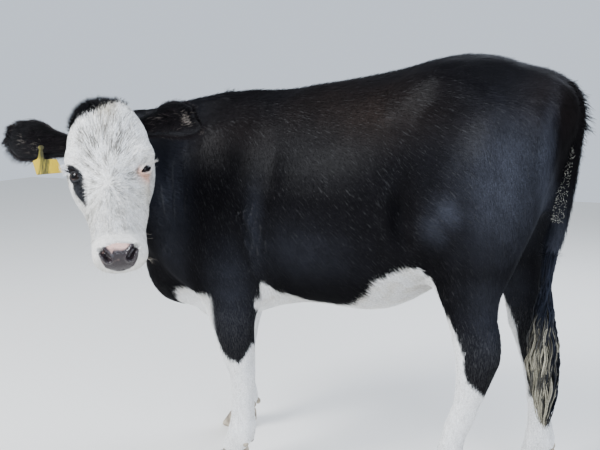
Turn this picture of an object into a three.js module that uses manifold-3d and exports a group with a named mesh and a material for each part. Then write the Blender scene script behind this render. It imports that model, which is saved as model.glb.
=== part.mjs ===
// A standing black and white yearling heifer, life size, her head turned to her left.
// Millimetres, +Z up. She faces -X, her left side is -Y. The ground is z = 0.
import * as THREE from 'three';
import { mergeVertices } from 'three/addons/utils/BufferGeometryUtils.js';
import Module from 'manifold-3d';

const wasm = await Module();
wasm.setup();

// ---------------------------------------------------------------- sizes

const partingGap = 0.4;      // between two pieces of the body
const halfGap = partingGap / 2;

// How softly one mass runs into the next.
const blends = { muscle: 80, leg: 46, neck: 60, head: 34, socket: 14 };

// The trunk's section at each distance from the middle, from the breast to the rump.
const trunkStations = [
  { at: -560, low: 450, high: 985, half: 118, narrowHigh: .40, narrowLow: .30 },
  { at: -490, low: 424, high: 1060, half: 156, narrowHigh: .48, narrowLow: .42 },
  { at: -420, low: 414, high: 1101, half: 182, narrowHigh: .54, narrowLow: .46 },
  { at: -340, low: 430, high: 1115, half: 196, narrowHigh: .58, narrowLow: .40 },
  { at: -250, low: 466, high: 1121, half: 208, narrowHigh: .50, narrowLow: .22 },
  { at: -150, low: 497, high: 1131, half: 230, narrowHigh: .42, narrowLow: .10 },
  { at: -30, low: 500, high: 1145, half: 252, narrowHigh: .36 },
  { at: 70, low: 499, high: 1163, half: 260, narrowHigh: .34 },
  { at: 150, low: 522, high: 1178, half: 250, narrowHigh: .32 },
  { at: 230, low: 574, high: 1196, half: 226, narrowHigh: .26 },
  { at: 328, low: 640, high: 1211, half: 200, narrowHigh: .24 },
  { at: 430, low: 700, high: 1190, half: 186, narrowHigh: .34 },
  { at: 500, low: 790, high: 1164, half: 142, narrowHigh: .40 },
];
const trunkEnds = { capStart: 108, capEnd: 60, power: 2.25 };

// Masses that stand out of the trunk, made once and mirrored to the other side.
const trunkMuscles = [
  { at: [-412, -108, 838], radii: [120, 82, 212], lean: [.30, 0, .95] },     // shoulder blade
  { at: [-500, -112, 705], radii: [105, 78, 115] },                          // point of the shoulder
  { at: [-400, -128, 640], radii: [120, 68, 110] },                          // upper arm
  { at: [-600, -28, 585], radii: [72, 74, 108] },                            // brisket
  { at: [262, -112, 1110], radii: [88, 74, 64] },                            // hook bone
  { at: [528, -56, 1064], radii: [60, 56, 72] },                             // pin bone
];

// Left fore leg: front and back outline at each height, then the pose moves the joints along X.
const foreOutline = [
  { at: 45, low: -382, high: -298, half: 39 },       // coronet
  { at: 80, low: -364, high: -284, half: 32 },       // pastern
  { at: 118, low: -352, high: -261, half: 35 },      // fetlock
  { at: 155, low: -345, high: -264, half: 29 },
  { at: 215, low: -342, high: -266, half: 28 },      // cannon
  { at: 280, low: -345, high: -263, half: 32 },
  { at: 340, low: -369, high: -260, half: 42 },      // knee
  { at: 385, low: -385, high: -262, half: 42 },
  { at: 460, low: -407, high: -257, half: 47 },      // forearm
  { at: 550, low: -432, high: -248, half: 58 },
  { at: 640, low: -470, high: -262, half: 66 },      // elbow
  { at: 720, low: -500, high: -300, half: 60 },
];
const hindOutline = [
  { at: 45, low: 220, high: 304, half: 39 },         // coronet
  { at: 80, low: 242, high: 324, half: 32 },         // pastern
  { at: 118, low: 256, high: 350, half: 35 },        // fetlock
  { at: 155, low: 273, high: 350, half: 29 },
  { at: 235, low: 297, high: 372, half: 27 },        // cannon
  { at: 318, low: 322, high: 400, half: 30 },
  { at: 366, low: 326, high: 418, half: 35 },
  { at: 405, low: 323, high: 433, half: 39 },        // hock
  { at: 455, low: 312, high: 447, half: 37 },        // point of the hock
  { at: 508, low: 302, high: 434, half: 41 },
  { at: 560, low: 284, high: 426, half: 52 },        // gaskin
  { at: 640, low: 244, high: 452, half: 70 },        // stifle
  { at: 720, low: 226, high: 484, half: 88 },
  { at: 800, low: 222, high: 516, half: 104 },       // thigh
  { at: 890, low: 236, high: 545, half: 112 },
  { at: 980, low: 272, high: 556, half: 104 },
  { at: 1050, low: 320, high: 540, half: 86 },
];
const legEnds = { capStart: 26, capEnd: 60, power: 2.2 };

// How far each leg stands out from the middle plane at each height.
const footSpread = { fore: 140, hind: 152 };
const foreSpreads = [
  { at: 0, spread: footSpread.fore },
  { at: 460, spread: 144 },
  { at: 600, spread: 146 },
  { at: 720, spread: 122 },
];
const hindSpreads = [
  { at: 0, spread: footSpread.hind },
  { at: 400, spread: footSpread.hind },
  { at: 560, spread: 148 },
  { at: 800, spread: 122 },
  { at: 1050, spread: 100 },
];

// How far each leg is carried along X from the outline above, at the toe, the mid joint and the top.
const stance = {
  fore_left: [{ at: 0, carry: 0 }, { at: 340, carry: 0 }, { at: 720, carry: 0 }],
  fore_right: [
    { at: 0, carry: -92 }, { at: 118, carry: -124 }, { at: 340, carry: -122 }, { at: 520, carry: -62 },
    { at: 720, carry: 0 },
  ],
  hind_left: [{ at: 0, carry: 0 }, { at: 400, carry: 0 }, { at: 900, carry: 0 }],
  hind_right: [
    { at: 0, carry: 246 }, { at: 118, carry: 220 }, { at: 340, carry: 132 }, { at: 440, carry: 101 },
    { at: 545, carry: 105 }, { at: 650, carry: 92 }, { at: 780, carry: 42 }, { at: 900, carry: 0 },
  ],
};

// A dewclaw, one of a pair behind each fetlock, and where the pair sits along X.
const dewclaw = { height: 90, apart: 20, radii: [15, 11, 15], fore: -281, hind: 326 };

// The neck's line in plan, and its top, bottom and half width, from inside the shoulders to the poll.
const neckLine = [
  { at: 0, x: -330, y: 0, low: 560, high: 1104, half: 116, narrowHigh: .56, narrowLow: .30 },
  { at: 1, x: -455, y: -8, low: 530, high: 1103, half: 130, narrowHigh: .60, narrowLow: .40 },
  { at: 2, x: -548, y: -62, low: 572, high: 1092, half: 118, narrowHigh: .60, narrowLow: .48 },
  { at: 3, x: -600, y: -150, low: 668, high: 1076, half: 96, narrowHigh: .52, narrowLow: .50 },
  { at: 4, x: -608, y: -245, low: 738, high: 1066, half: 85, narrowHigh: .40, narrowLow: .46 },
  { at: 5, x: -588, y: -340, low: 792, high: 1062, half: 80, narrowHigh: .28, narrowLow: .38 },
  { at: 6, x: -545, y: -432, low: 832, high: 1062, half: 76, narrowHigh: .20, narrowLow: .30 },
];
const neckEnds = { capStart: 1, capEnd: 0.6, power: 2.2, spacing: 110 };
const neckSteps = 48;

// The head has its own frame: a runs from the poll to the muzzle, l to its left, n out of the forehead.
const poll = [-505, -485, 1086];
const noseTip = [-346, -665, 741];
const foreheadFaces = [1185, -1635, 190];

const skullStations = [
  { at: 6, low: -118, high: -10, half: 66, narrowHigh: .34, narrowLow: .20 },
  { at: 42, low: -150, high: 4, half: 94, narrowHigh: .22, narrowLow: .30 },
  { at: 90, low: -182, high: 8, half: 104, narrowHigh: .12, narrowLow: .38 },
  { at: 140, low: -196, high: 6, half: 103, narrowHigh: .12, narrowLow: .42 },
  { at: 190, low: -190, high: 2, half: 94, narrowHigh: .18, narrowLow: .40 },
  { at: 245, low: -166, high: -1, half: 77, narrowHigh: .26, narrowLow: .34 },
  { at: 300, low: -144, high: -4, half: 65, narrowHigh: .30, narrowLow: .28 },
  { at: 350, low: -130, high: -8, half: 60, narrowHigh: .28, narrowLow: .18 },
  { at: 392, low: -118, high: -15, half: 58, narrowHigh: .18, narrowLow: .16 },
];
const skullEnds = { capStart: 26, capEnd: 34, power: 2.4 };
const headSpan = { from: -260, to: 640, away: 300 };

const headMuscles = [
  { at: [150, 76, -30], radii: [52, 34, 30], blend: 30 },     // brow
  { at: [212, 66, -52], radii: [50, 24, 26], blend: 26 },     // cheekbone under the eye
  { at: [172, 60, -126], radii: [80, 36, 60], blend: 34 },    // jaw muscle
  { at: [14, 28, -30], radii: [34, 40, 30], blend: 34 },      // poll
  { at: [390, 24, -56], radii: [37, 41, 42], blend: 16 },     // muzzle
  { at: [376, 20, -98], radii: [38, 34, 26], blend: 20 },     // lips and chin
];

// The eyes, and the sockets sunk for them.
const eye = { along: 177, side: 85, depth: -42, radius: 19 };
const socket = { out: 16, down: 4, radii: [24, 15, 17] };

// An ear in the head's frame: a leaf that starts as a tube and opens to the front.
const ears = {
  ear_left: { side: 1, root: [50, 62, -66], along: [-0.30, 0.92, -0.22], length: 196 },
  ear_right: { side: -1, root: [78, -62, -66], along: [-0.29, -0.92, -0.24], length: 198 },
};
const earShape = [
  { at: 0, half: 26, cup: 13, wall: 13 },
  { at: 0.16, half: 31, cup: 17, wall: 10 },
  { at: 0.36, half: 50, cup: 22, wall: 7 },
  { at: 0.56, half: 61, cup: 22, wall: 6 },
  { at: 0.76, half: 54, cup: 16, wall: 5 },
  { at: 0.92, half: 37, cup: 9, wall: 4 },
  { at: 1, half: 17, cup: 3, wall: 3.5 },
];
// Which way the leaf opens, how far its middle sinks, and how much its wall thins to the rim.
const earLoft = { rings: 8, across: 7, faces: [0.10, 0, 1], sunk: 0.5, thinner: 0.55 };

// A flag tag: a panel with a neck, held by a pin that goes through the ear to a round button.
const tag = { along: 0.55, across: 33, width: 60, height: 36, neck: 13, neckLength: 33, thickness: 3.2,
  pinRadius: 4, buttonRadius: 13, stand: 23, slope: 4, set: 1.1,
  hangs: [1, -0.08, 0.02], faces: [0.12, 0.12, 1] };

// Each foot's coronet along X before the pose carries it, and the height where hair ends and horn starts.
const footAt = { fore: -340, hind: 262 };
const coronet = 52;

// Two claws to a foot: rings from the flat sole up to the coronet, drawn back as they rise.
const clawShape = [
  { height: 0, toe: 64, heel: 40, half: 22 },
  { height: 10, toe: 60, heel: 43, half: 23 },
  { height: 30, toe: 46, heel: 44, half: 22 },
  { height: coronet - partingGap, toe: 31, heel: 42, half: 19.5 },
];
const clawApart = 24;
const clawSplay = 3;
const clawPoint = 0.38;
const clawFlat = 0.86;
const roundOf = { claw: 10, tail: 10, tag: 9 };

// The tail bone with its short hair, then the brush of long hair below it.
const tailLine = [
  { at: 0, x: 505, z: 1138, radius: 30 },
  { at: 1, x: 557, z: 1112, radius: 29 },
  { at: 2, x: 574, z: 1050, radius: 27 },
  { at: 3, x: 570, z: 930, radius: 24 },
  { at: 4, x: 556, z: 800, radius: 22 },
  { at: 5, x: 536, z: 690, radius: 20 },
];
const switchLine = [
  { at: 0, x: 535.6, z: 687, radius: 20 },
  { at: 1, x: 527, z: 600, radius: 27 },
  { at: 2, x: 529, z: 500, radius: 38 },
  { at: 3, x: 529, z: 390, radius: 40 },
  { at: 4, x: 535, z: 290, radius: 35 },
  { at: 5, x: 543, z: 205, radius: 8 },
];
const tailLoft = { rings: 11, slim: 1 };
const switchLoft = { rings: 9, slim: 0.8 };

// ---------------------------------------------------------------- where the body is parted

const neckCut = { through: [-522, -30, 850], facing: [-0.85, -0.25, 0.46] };
const headCut = { through: [-42, 0, -30], axisShare: 0.75, frontShare: 0.66 };
const foreCuts = [
  { through: [0, 72, 0], facing: [0, -1, 0] },
  { through: [0, 78, 478], facing: [0, -0.62, 0.78] },
  { through: [-232, 0, 600], facing: [1, 0, 0] },
];
const hindCuts = [
  { through: [0, 0, 0], facing: [0, -1, 0] },
  { through: [260, 0, 580], facing: [-0.679, 0, 0.734] },
];
const midJoint = { fore: 300, hind: 372 };

// The space that each net covers and the size of its cells. A limb's Y is for the right side.
const nets = {
  trunk: { low: [-760, -341, 370], high: [690, 341, 1270], step: [65, 63, 63] },
  neck: { low: [-800, -660, 470], high: [-300, 200, 1200], step: [48, 42, 52] },
  head: { low: [-132, -154, -260], high: [484, 154, 70], step: [25.5, 23.7, 24] },
  upper: { step: [38, 34, 50], top: 1150 },
  lower: { step: [27, 24, 40] },
};
const limbReach = { fore: [-700, -150], hind: [120, 700], inner: -60, outer: 310, lap: 60, footLap: 40 };

// ---------------------------------------------------------------- materials

const finish = (color, roughness) => new THREE.MeshStandardMaterial({ color, roughness, metalness: 0 });
const coats = {
  black: finish('#1b1a1d', 0.7),
  white: finish('#e9e4da', 0.8),
  horn: finish('#8d8378', 0.6),
  eye: finish('#120d0b', 0.12),
  tag: finish('#d9c21a', 0.5),
  switch: finish('#57493a', 0.85),
};

// ---------------------------------------------------------------- vectors and soft forms

const add = (a, b) => a.map((v, i) => v + b[i]);
const scale = (a, k) => a.map((v) => v * k);
const minus = (a, b) => a.map((v, i) => v - b[i]);
const dot = (a, b) => a[0] * b[0] + a[1] * b[1] + a[2] * b[2];
const cross = (a, b) => [
  a[1] * b[2] - a[2] * b[1], a[2] * b[0] - a[0] * b[2], a[0] * b[1] - a[1] * b[0]];
const unit = (a) => scale(a, 1 / Math.hypot(...a));
const clamp = (v, low, high) => Math.min(Math.max(v, low), high);

// A union of two distances with a rounded valley of width k.
function blend(a, b, k) {
  const h = Math.max(k - Math.abs(a - b), 0) / k;
  return Math.min(a, b) - h * h * k / 4;
}

// A natural cubic curve through the stations' values of one size.
function curveThrough(stations, size, fallback = 0) {
  const x = stations.map((s) => s.at);
  const y = stations.map((s) => s[size] ?? fallback);
  const n = x.length;
  const bend = new Array(n).fill(0);
  const u = new Array(n).fill(0);
  for (let i = 1; i < n - 1; i++) {
    const share = (x[i] - x[i - 1]) / (x[i + 1] - x[i - 1]);
    const p = share * bend[i - 1] + 2;
    bend[i] = (share - 1) / p;
    const turn = (y[i + 1] - y[i]) / (x[i + 1] - x[i]) - (y[i] - y[i - 1]) / (x[i] - x[i - 1]);
    u[i] = (6 * turn / (x[i + 1] - x[i - 1]) - share * u[i - 1]) / p;
  }
  for (let i = n - 2; i > 0; i--) bend[i] = bend[i] * bend[i + 1] + u[i];
  return (at) => {
    const t = clamp(at, x[0], x[n - 1]);
    let i = 0;
    while (i < n - 2 && t > x[i + 1]) i++;
    const h = x[i + 1] - x[i];
    const a = (x[i + 1] - t) / h;
    const b = 1 - a;
    return a * y[i] + b * y[i + 1]
      + ((a ** 3 - a) * bend[i] + (b ** 3 - b) * bend[i + 1]) * h * h / 6;
  };
}

// A mass with a section at each station: low to high one way, centre +- half the other way.
// narrowHigh and narrowLow draw the section in towards its two ends. spacing is the length of one step
// of the stations' own scale.
function loftedMass(stations, { capStart = 40, capEnd = 40, power = 2.3, spacing = 1 } = {}) {
  const sorted = [...stations].sort((p, q) => p.at - q.at);
  const [low, high, centre, half] = ['low', 'high', 'centre', 'half'].map((s) => curveThrough(sorted, s));
  const narrowHigh = curveThrough(sorted, 'narrowHigh');
  const narrowLow = curveThrough(sorted, 'narrowLow');
  const first = sorted[0].at;
  const last = sorted[sorted.length - 1].at;
  return (along, side, rise) => {
    const beyond = along < first ? (first - along) / capStart : Math.max(0, (along - last) / capEnd);
    const t = clamp(along, first, last);
    const middle = (low(t) + high(t)) / 2;
    const reach = (high(t) - low(t)) / 2;
    const v = (rise - middle) / reach;
    const drawn = 1 - (v > 0 ? narrowHigh(t) : narrowLow(t)) * Math.min(Math.abs(v), 1.2) ** 1.6;
    const u = Math.abs(side - centre(t)) / (half(t) * drawn);
    const section = (u ** power + Math.abs(v) ** power) ** (1 / power);
    const k = Math.hypot(section, beyond);
    const away = Math.hypot(side - centre(t), rise - middle, (along - t) * spacing);
    return k < 1e-3 ? -Math.min(half(t), reach) : Math.min(away, 400) * (1 - 1 / k) * 0.9;
  };
}

// An ellipsoid muscle or bony point. turn gives its long axis when it isn't an axis of the frame.
function muscle(at, radii, axes = [[1, 0, 0], [0, 1, 0], [0, 0, 1]]) {
  return (p) => {
    const d = minus(p, at);
    const q = axes.map((axis) => dot(d, axis));
    const k = Math.hypot(q[0] / radii[0], q[1] / radii[1], q[2] / radii[2]);
    const g = Math.hypot(q[0] / radii[0] ** 2, q[1] / radii[1] ** 2, q[2] / radii[2] ** 2);
    return g < 1e-9 ? -Math.min(...radii) : k * (k - 1) / g;
  };
}

// ---------------------------------------------------------------- the body as one soft form

function leaning(lean) {
  const up = unit(lean);
  const across = unit(cross(up, [1, 0, 0]));
  return [cross(across, up).map((v) => -v), across, up];
}

const trunk = loftedMass(trunkStations, trunkEnds);
const masses = trunkMuscles.flatMap(({ at, radii, lean }) => [
  muscle(at, radii, lean && leaning(lean)),
  muscle([at[0], -at[1], at[2]], radii, lean && leaning(lean)),
]);

function torsoField(p) {
  let d = trunk(p[0], p[1], p[2]);
  for (const mass of masses) d = blend(d, mass(p), blends.muscle);
  return d;
}

const sideOf = (name) => (name.endsWith('left') ? -1 : 1);
const pairOf = (name) => (name.startsWith('fore') ? 'fore' : 'hind');

function legField(outline, spreads, side, carries) {
  const spreadAt = curveThrough(spreads, 'spread');
  const carryAt = curveThrough(carries, 'carry');
  const placed = outline.map((s) => ({
    ...s, low: s.low + carryAt(s.at), high: s.high + carryAt(s.at), centre: side * spreadAt(s.at) }));
  const mass = loftedMass(placed, legEnds);
  return (p) => mass(p[2], p[1], p[0]);
}

const legs = {};
for (const [name, carries] of Object.entries(stance)) {
  const fore = pairOf(name) === 'fore';
  legs[name] = legField(
    fore ? foreOutline : hindOutline, fore ? foreSpreads : hindSpreads, sideOf(name), carries);
}

// The neck bends in plan, so a point is first placed along and beside its line.
function neckField() {
  const lineX = curveThrough(neckLine, 'x');
  const lineY = curveThrough(neckLine, 'y');
  const mass = loftedMass(neckLine, neckEnds);
  const last = neckLine.length - 1;
  const points = Array.from({ length: neckSteps + 1 }, (_, i) => {
    const t = last * i / neckSteps;
    return [lineX(t), lineY(t)];
  });
  return (p) => {
    let best = Infinity;
    let along = 0;
    let side = 0;
    for (let i = 0; i < neckSteps; i++) {
      const [ax, ay] = points[i];
      const dx = points[i + 1][0] - ax;
      const dy = points[i + 1][1] - ay;
      const length2 = dx * dx + dy * dy;
      const free = ((p[0] - ax) * dx + (p[1] - ay) * dy) / length2;
      const t = clamp(free, 0, 1);
      const ex = p[0] - ax - t * dx;
      const ey = p[1] - ay - t * dy;
      const d = ex * ex + ey * ey;
      if (d < best) {
        best = d;
        side = (dx * (p[1] - ay) - dy * (p[0] - ax)) / Math.sqrt(length2);
        const beyond = (i === 0 && free < 0) || (i === neckSteps - 1 && free > 1);
        along = last * (i + (beyond ? free : t)) / neckSteps;
      }
    }
    return mass(along, side, p[2]);
  };
}

const neck = neckField();

const headAxis = unit(minus(noseTip, poll));
const headLeft = unit(cross(foreheadFaces, headAxis));
const headFront = unit(cross(headAxis, headLeft));
const headFrame = [headAxis, headLeft, headFront];
const toHead = (p) => headFrame.map((axis) => dot(minus(p, poll), axis));
const fromHead = (q) => headFrame.reduce((sum, axis, i) => add(sum, scale(axis, q[i])), poll);

const skull = loftedMass(skullStations, skullEnds);
const headMasses = headMuscles.flatMap(({ at, radii, blend: width }) => [
  [muscle(at, radii), width],
  [muscle([at[0], -at[1], at[2]], radii), width],
]);
const sockets = [-1, 1].map((side) => muscle(
  [eye.along, side * (eye.side + socket.out), eye.depth + socket.down], socket.radii));

function headField(p) {
  const q = toHead(p);
  if (q[0] < headSpan.from || q[0] > headSpan.to) return headSpan.away;
  let d = skull(q[0], q[1], q[2]);
  for (const [mass, width] of headMasses) d = blend(d, mass(q), width);
  for (const hollow of sockets) d = -blend(-d, hollow(q), blends.socket);
  return d;
}

const shoulderField = (p) => blend(torsoField(p), neck(p), blends.neck);
const trunkField = (p) => Object.values(legs)
  .reduce((d, leg) => blend(d, leg(p), blends.leg), shoulderField(p));

// ---------------------------------------------------------------- from form to mesh

// Wraps the form in a net of four-sided cells, then draws each knot onto the surface.
// place carries a point of the net's own frame into the body's.
function netOver(bodyForm, { low, high, step }, place = (p) => p) {
  const field = (p) => bodyForm(place(p));
  const count = [0, 1, 2].map((i) => Math.ceil((high[i] - low[i]) / step[i]) + 1);
  const [nx, ny, nz] = count;
  const index = (i, j, k) => (k * ny + j) * nx + i;
  const at = (i, j, k) => [low[0] + i * step[0], low[1] + j * step[1], low[2] + k * step[2]];
  const value = new Float32Array(nx * ny * nz);
  for (let k = 0; k < nz; k++) {
    for (let j = 0; j < ny; j++) {
      for (let i = 0; i < nx; i++) {
        const edge = i === 0 || j === 0 || k === 0 || i === nx - 1 || j === ny - 1 || k === nz - 1;
        const d = field(at(i, j, k));
        value[index(i, j, k)] = edge ? Math.max(d, 2) : d;
      }
    }
  }
  const corners = [[0, 0, 0], [1, 0, 0], [0, 1, 0], [1, 1, 0], [0, 0, 1], [1, 0, 1], [0, 1, 1], [1, 1, 1]];
  const edges = [
    [0, 1], [2, 3], [4, 5], [6, 7], [0, 2], [1, 3], [4, 6], [5, 7], [0, 4], [1, 5], [2, 6], [3, 7]];
  const knot = new Map();
  const positions = [];
  for (let k = 0; k < nz - 1; k++) {
    for (let j = 0; j < ny - 1; j++) {
      for (let i = 0; i < nx - 1; i++) {
        const v = corners.map(([a, b, c]) => value[index(i + a, j + b, k + c)]);
        let sum = [0, 0, 0];
        let hits = 0;
        for (const [a, b] of edges) {
          if ((v[a] < 0) === (v[b] < 0)) continue;
          const t = v[a] / (v[a] - v[b]);
          sum = add(sum, add(scale(corners[a], 1 - t), scale(corners[b], t)));
          hits++;
        }
        if (!hits) continue;
        knot.set(index(i, j, k), positions.length);
        positions.push(add(at(i, j, k), sum.map((s, axis) => s / hits * step[axis])));
      }
    }
  }
  const triangles = [];
  const ways = [
    { step: [1, 0, 0], ring: [[0, 0, 0], [0, 1, 0], [0, 1, 1], [0, 0, 1]] },
    { step: [0, 1, 0], ring: [[0, 0, 0], [0, 0, 1], [1, 0, 1], [1, 0, 0]] },
    { step: [0, 0, 1], ring: [[0, 0, 0], [1, 0, 0], [1, 1, 0], [0, 1, 0]] },
  ];
  for (let k = 0; k < nz - 1; k++) {
    for (let j = 0; j < ny - 1; j++) {
      for (let i = 0; i < nx - 1; i++) {
        const here = value[index(i, j, k)] < 0;
        for (const { step: [a, b, c], ring } of ways) {
          if (here === value[index(i + a, j + b, k + c)] < 0) continue;
          const [p, q, r, s] = ring.map(([x, y, z]) => knot.get(index(i - x, j - y, k - z)));
          triangles.push(...(here ? [p, q, r, p, r, s] : [p, s, r, p, r, q]));
        }
      }
    }
  }
  const drawn = positions.map((p) => place(drawToSurface(field, p, Math.min(...step) * 0.45)));
  const geometry = new THREE.BufferGeometry();
  geometry.setAttribute('position', new THREE.BufferAttribute(new Float32Array(drawn.flat()), 3));
  geometry.setIndex(triangles);
  return geometry;
}

function slope(field, p, e = 1.5) {
  return [0, 1, 2].map((i) => {
    const ahead = [...p];
    const behind = [...p];
    ahead[i] += e;
    behind[i] -= e;
    return (field(ahead) - field(behind)) / (2 * e);
  });
}

function drawToSurface(field, start, furthest) {
  let p = start;
  for (let round = 0; round < 3; round++) {
    const g = slope(field, p);
    const g2 = dot(g, g);
    if (g2 < 1e-4) return p;
    p = minus(p, scale(g, field(p) / g2));
  }
  const moved = minus(p, start);
  const far = Math.hypot(...moved);
  return far > furthest ? add(start, scale(moved, furthest / far)) : p;
}

// A closed mesh as a solid, with its faces turned out whichever way they were wound.
function solidOf(geometry) {
  const bare = new THREE.BufferGeometry();
  bare.setAttribute('position', geometry.getAttribute('position'));
  if (geometry.index) bare.setIndex(geometry.index);
  const merged = mergeVertices(bare, 1e-3);
  const vertProperties = new Float32Array(merged.attributes.position.array);
  const triVerts = new Uint32Array(merged.index.array);
  const solid = new wasm.Manifold(new wasm.Mesh({ numProp: 3, vertProperties, triVerts }));
  return solid.volume() < 0
    ? new wasm.Manifold(new wasm.Mesh({ numProp: 3, vertProperties, triVerts: triVerts.reverse() }))
    : solid;
}

function geometryOf(solid) {
  const { numProp, numVert, vertProperties, triVerts } = solid.getMesh();
  const positions = new Float32Array(numVert * 3);
  for (let i = 0; i < numVert; i++) {
    positions.set(vertProperties.subarray(i * numProp, i * numProp + 3), i * 3);
  }
  const geometry = new THREE.BufferGeometry();
  geometry.setAttribute('position', new THREE.BufferAttribute(positions, 3));
  geometry.setIndex(new THREE.BufferAttribute(triVerts, 1));
  return geometry;
}

// A block that holds everything beyond a plane, which runs through a point and faces outward.
function beyondPlane(through, facing, inset = 0) {
  const size = 4000;
  const out = unit(facing);
  const block = new THREE.BoxGeometry(size, size, size);
  block.applyQuaternion(new THREE.Quaternion().setFromUnitVectors(
    new THREE.Vector3(0, 0, 1), new THREE.Vector3(...out)));
  block.translate(...add(through, scale(out, size / 2 - inset)));
  return solidOf(block);
}

// The space behind all the given planes. A positive inset draws each plane in.
function regionBehind(planes, inset) {
  let region = solidOf(new THREE.BoxGeometry(3400, 3400, 3400));
  for (const { through, facing } of planes) region = region.subtract(beyondPlane(through, facing, inset));
  return region;
}

// Rings of points joined into one closed solid, with flat ends.
function solidOfRings(rings) {
  const around = rings[0].length;
  const positions = rings.flat();
  const triangles = [];
  for (let r = 0; r < rings.length - 1; r++) {
    for (let i = 0; i < around; i++) {
      const a = r * around + i;
      const b = r * around + (i + 1) % around;
      triangles.push(a, b, b + around, a, b + around, a + around);
    }
  }
  for (const [first, turned] of [[0, true], [(rings.length - 1) * around, false]]) {
    const ring = rings[first / around];
    const middle = scale(ring.reduce((sum, p) => add(sum, p), [0, 0, 0]), 1 / around);
    const centre = positions.push(middle) - 1;
    for (let i = 0; i < around; i++) {
      const a = first + i;
      const b = first + (i + 1) % around;
      triangles.push(...(turned ? [centre, b, a] : [centre, a, b]));
    }
  }
  const geometry = new THREE.BufferGeometry();
  geometry.setAttribute('position', new THREE.BufferAttribute(new Float32Array(positions.flat()), 3));
  geometry.setIndex(triangles);
  return solidOf(geometry);
}

// The largest of a solid's separate bodies, so that no sliver is left over from a cut.
function mainBody(solid) {
  const bodies = solid.decompose();
  return bodies.reduce((best, body) => (body.volume() > best.volume() ? body : best));
}

// ---------------------------------------------------------------- the small solids

// A leaf that starts as a tube and opens to the front. extra swells it, to cut room for it.
function earSolid({ root, along, length }, extra) {
  const run = unit(along);
  const face = unit(minus(earLoft.faces, scale(run, dot(earLoft.faces, run))));
  const wide = cross(face, run);
  const [half, cup, wall] = ['half', 'cup', 'wall'].map((size) => curveThrough(earShape, size));
  const { across } = earLoft;
  const rings = Array.from({ length: earLoft.rings }, (_, i) => {
    const t = i / (earLoft.rings - 1);
    const middle = add(root, scale(run, length * t - (i === 0 ? extra : 0)));
    const spot = (v, out) => {
      const reach = v * (half(t) + extra);
      const bow = cup(t) * ((reach / half(t)) ** 2 - earLoft.sunk);
      return fromHead(add(middle, add(scale(wide, reach), scale(face, bow + out))));
    };
    const thick = (v) => wall(t) * (1 - earLoft.thinner * v * v) / 2 + extra;
    const front = Array.from({ length: across }, (__, j) => 2 * j / (across - 1) - 1);
    const back = [...front].reverse();
    return [...front.map((v) => spot(v, thick(v))), ...back.map((v) => spot(v, -thick(v)))];
  });
  return solidOfRings(rings);
}

// An eyeball, in the head's frame and a little clear of its socket.
function eyeSolid(side, extra) {
  const ball = new THREE.IcosahedronGeometry(eye.radius + extra, 2);
  ball.translate(...fromHead([eye.along, side * eye.side, eye.depth]));
  return solidOf(ball);
}

function flagPlate() {
  const shape = new THREE.Shape();
  const halfNeck = tag.neck / 2;
  const start = -tag.neck * tag.set;
  const end = start + tag.width;
  shape.moveTo(-halfNeck, halfNeck);
  shape.lineTo(-halfNeck, -tag.neckLength);
  shape.lineTo(start, -tag.neckLength - tag.slope);
  shape.lineTo(start - tag.slope / 2, -tag.neckLength - tag.height);
  shape.lineTo(end, -tag.neckLength - tag.height);
  shape.lineTo(end - tag.slope, -tag.neckLength - tag.slope);
  shape.lineTo(halfNeck, -tag.neckLength);
  shape.lineTo(halfNeck, halfNeck);
  return new THREE.ExtrudeGeometry(shape, { depth: tag.thickness, bevelEnabled: false });
}

// Carries a solid of the tag from its own frame, with its pin along Z, to its place on the right ear.
function hungOnEar(geometry) {
  const { root, along, length } = ears.ear_right;
  const hangs = unit(tag.hangs);
  const faces = unit(minus(tag.faces, scale(hangs, dot(tag.faces, hangs))));
  const pin = add(add(root, scale(unit(along), length * tag.along)), scale(hangs, tag.across));
  const basis = (x, y, z) => new THREE.Matrix4().makeBasis(
    new THREE.Vector3(...x), new THREE.Vector3(...y), new THREE.Vector3(...z));
  return solidOf(geometry
    .applyMatrix4(basis(cross(faces, hangs), scale(hangs, -1), faces))
    .translate(...pin)
    .applyMatrix4(basis(...headFrame))
    .translate(...poll));
}

function tagRound(radius, from, to) {
  return hungOnEar(new THREE.CylinderGeometry(radius, radius, to - from, roundOf.tag)
    .rotateX(Math.PI / 2)
    .translate(0, 0, (from + to) / 2));
}

const tagBack = -tag.stand - tag.thickness;
const tagPin = (extra) => tagRound(tag.pinRadius + extra, tagBack, -tagBack);

function tagSolid() {
  return hungOnEar(flagPlate().translate(0, 0, tag.stand))
    .add(tagPin(0))
    .add(tagRound(tag.buttonRadius, tagBack, -tag.stand));
}

function dewclawSolid(x, y) {
  const bead = new THREE.SphereGeometry(1, 7, 5).scale(...dewclaw.radii);
  return solidOf(bead.translate(x, y, dewclaw.height));
}

function clawSolid(footX, footY, inner) {
  const around = roundOf.claw;
  const rings = clawShape.map(({ height, toe, heel, half }) => Array.from({ length: around }, (_, i) => {
    const angle = 2 * Math.PI * i / around;
    const forward = Math.cos(angle);
    const x = forward > 0 ? -forward * toe : -forward * heel;
    const pointed = 1 - clawPoint * Math.max(forward, 0) ** 2;
    const flat = Math.sin(angle) * inner > 0 ? clawFlat : 1;
    const across = Math.sin(angle) * half * pointed * flat + inner * forward * clawSplay;
    return [footX + x, footY + across, height];
  }));
  return solidOfRings(rings);
}

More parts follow.
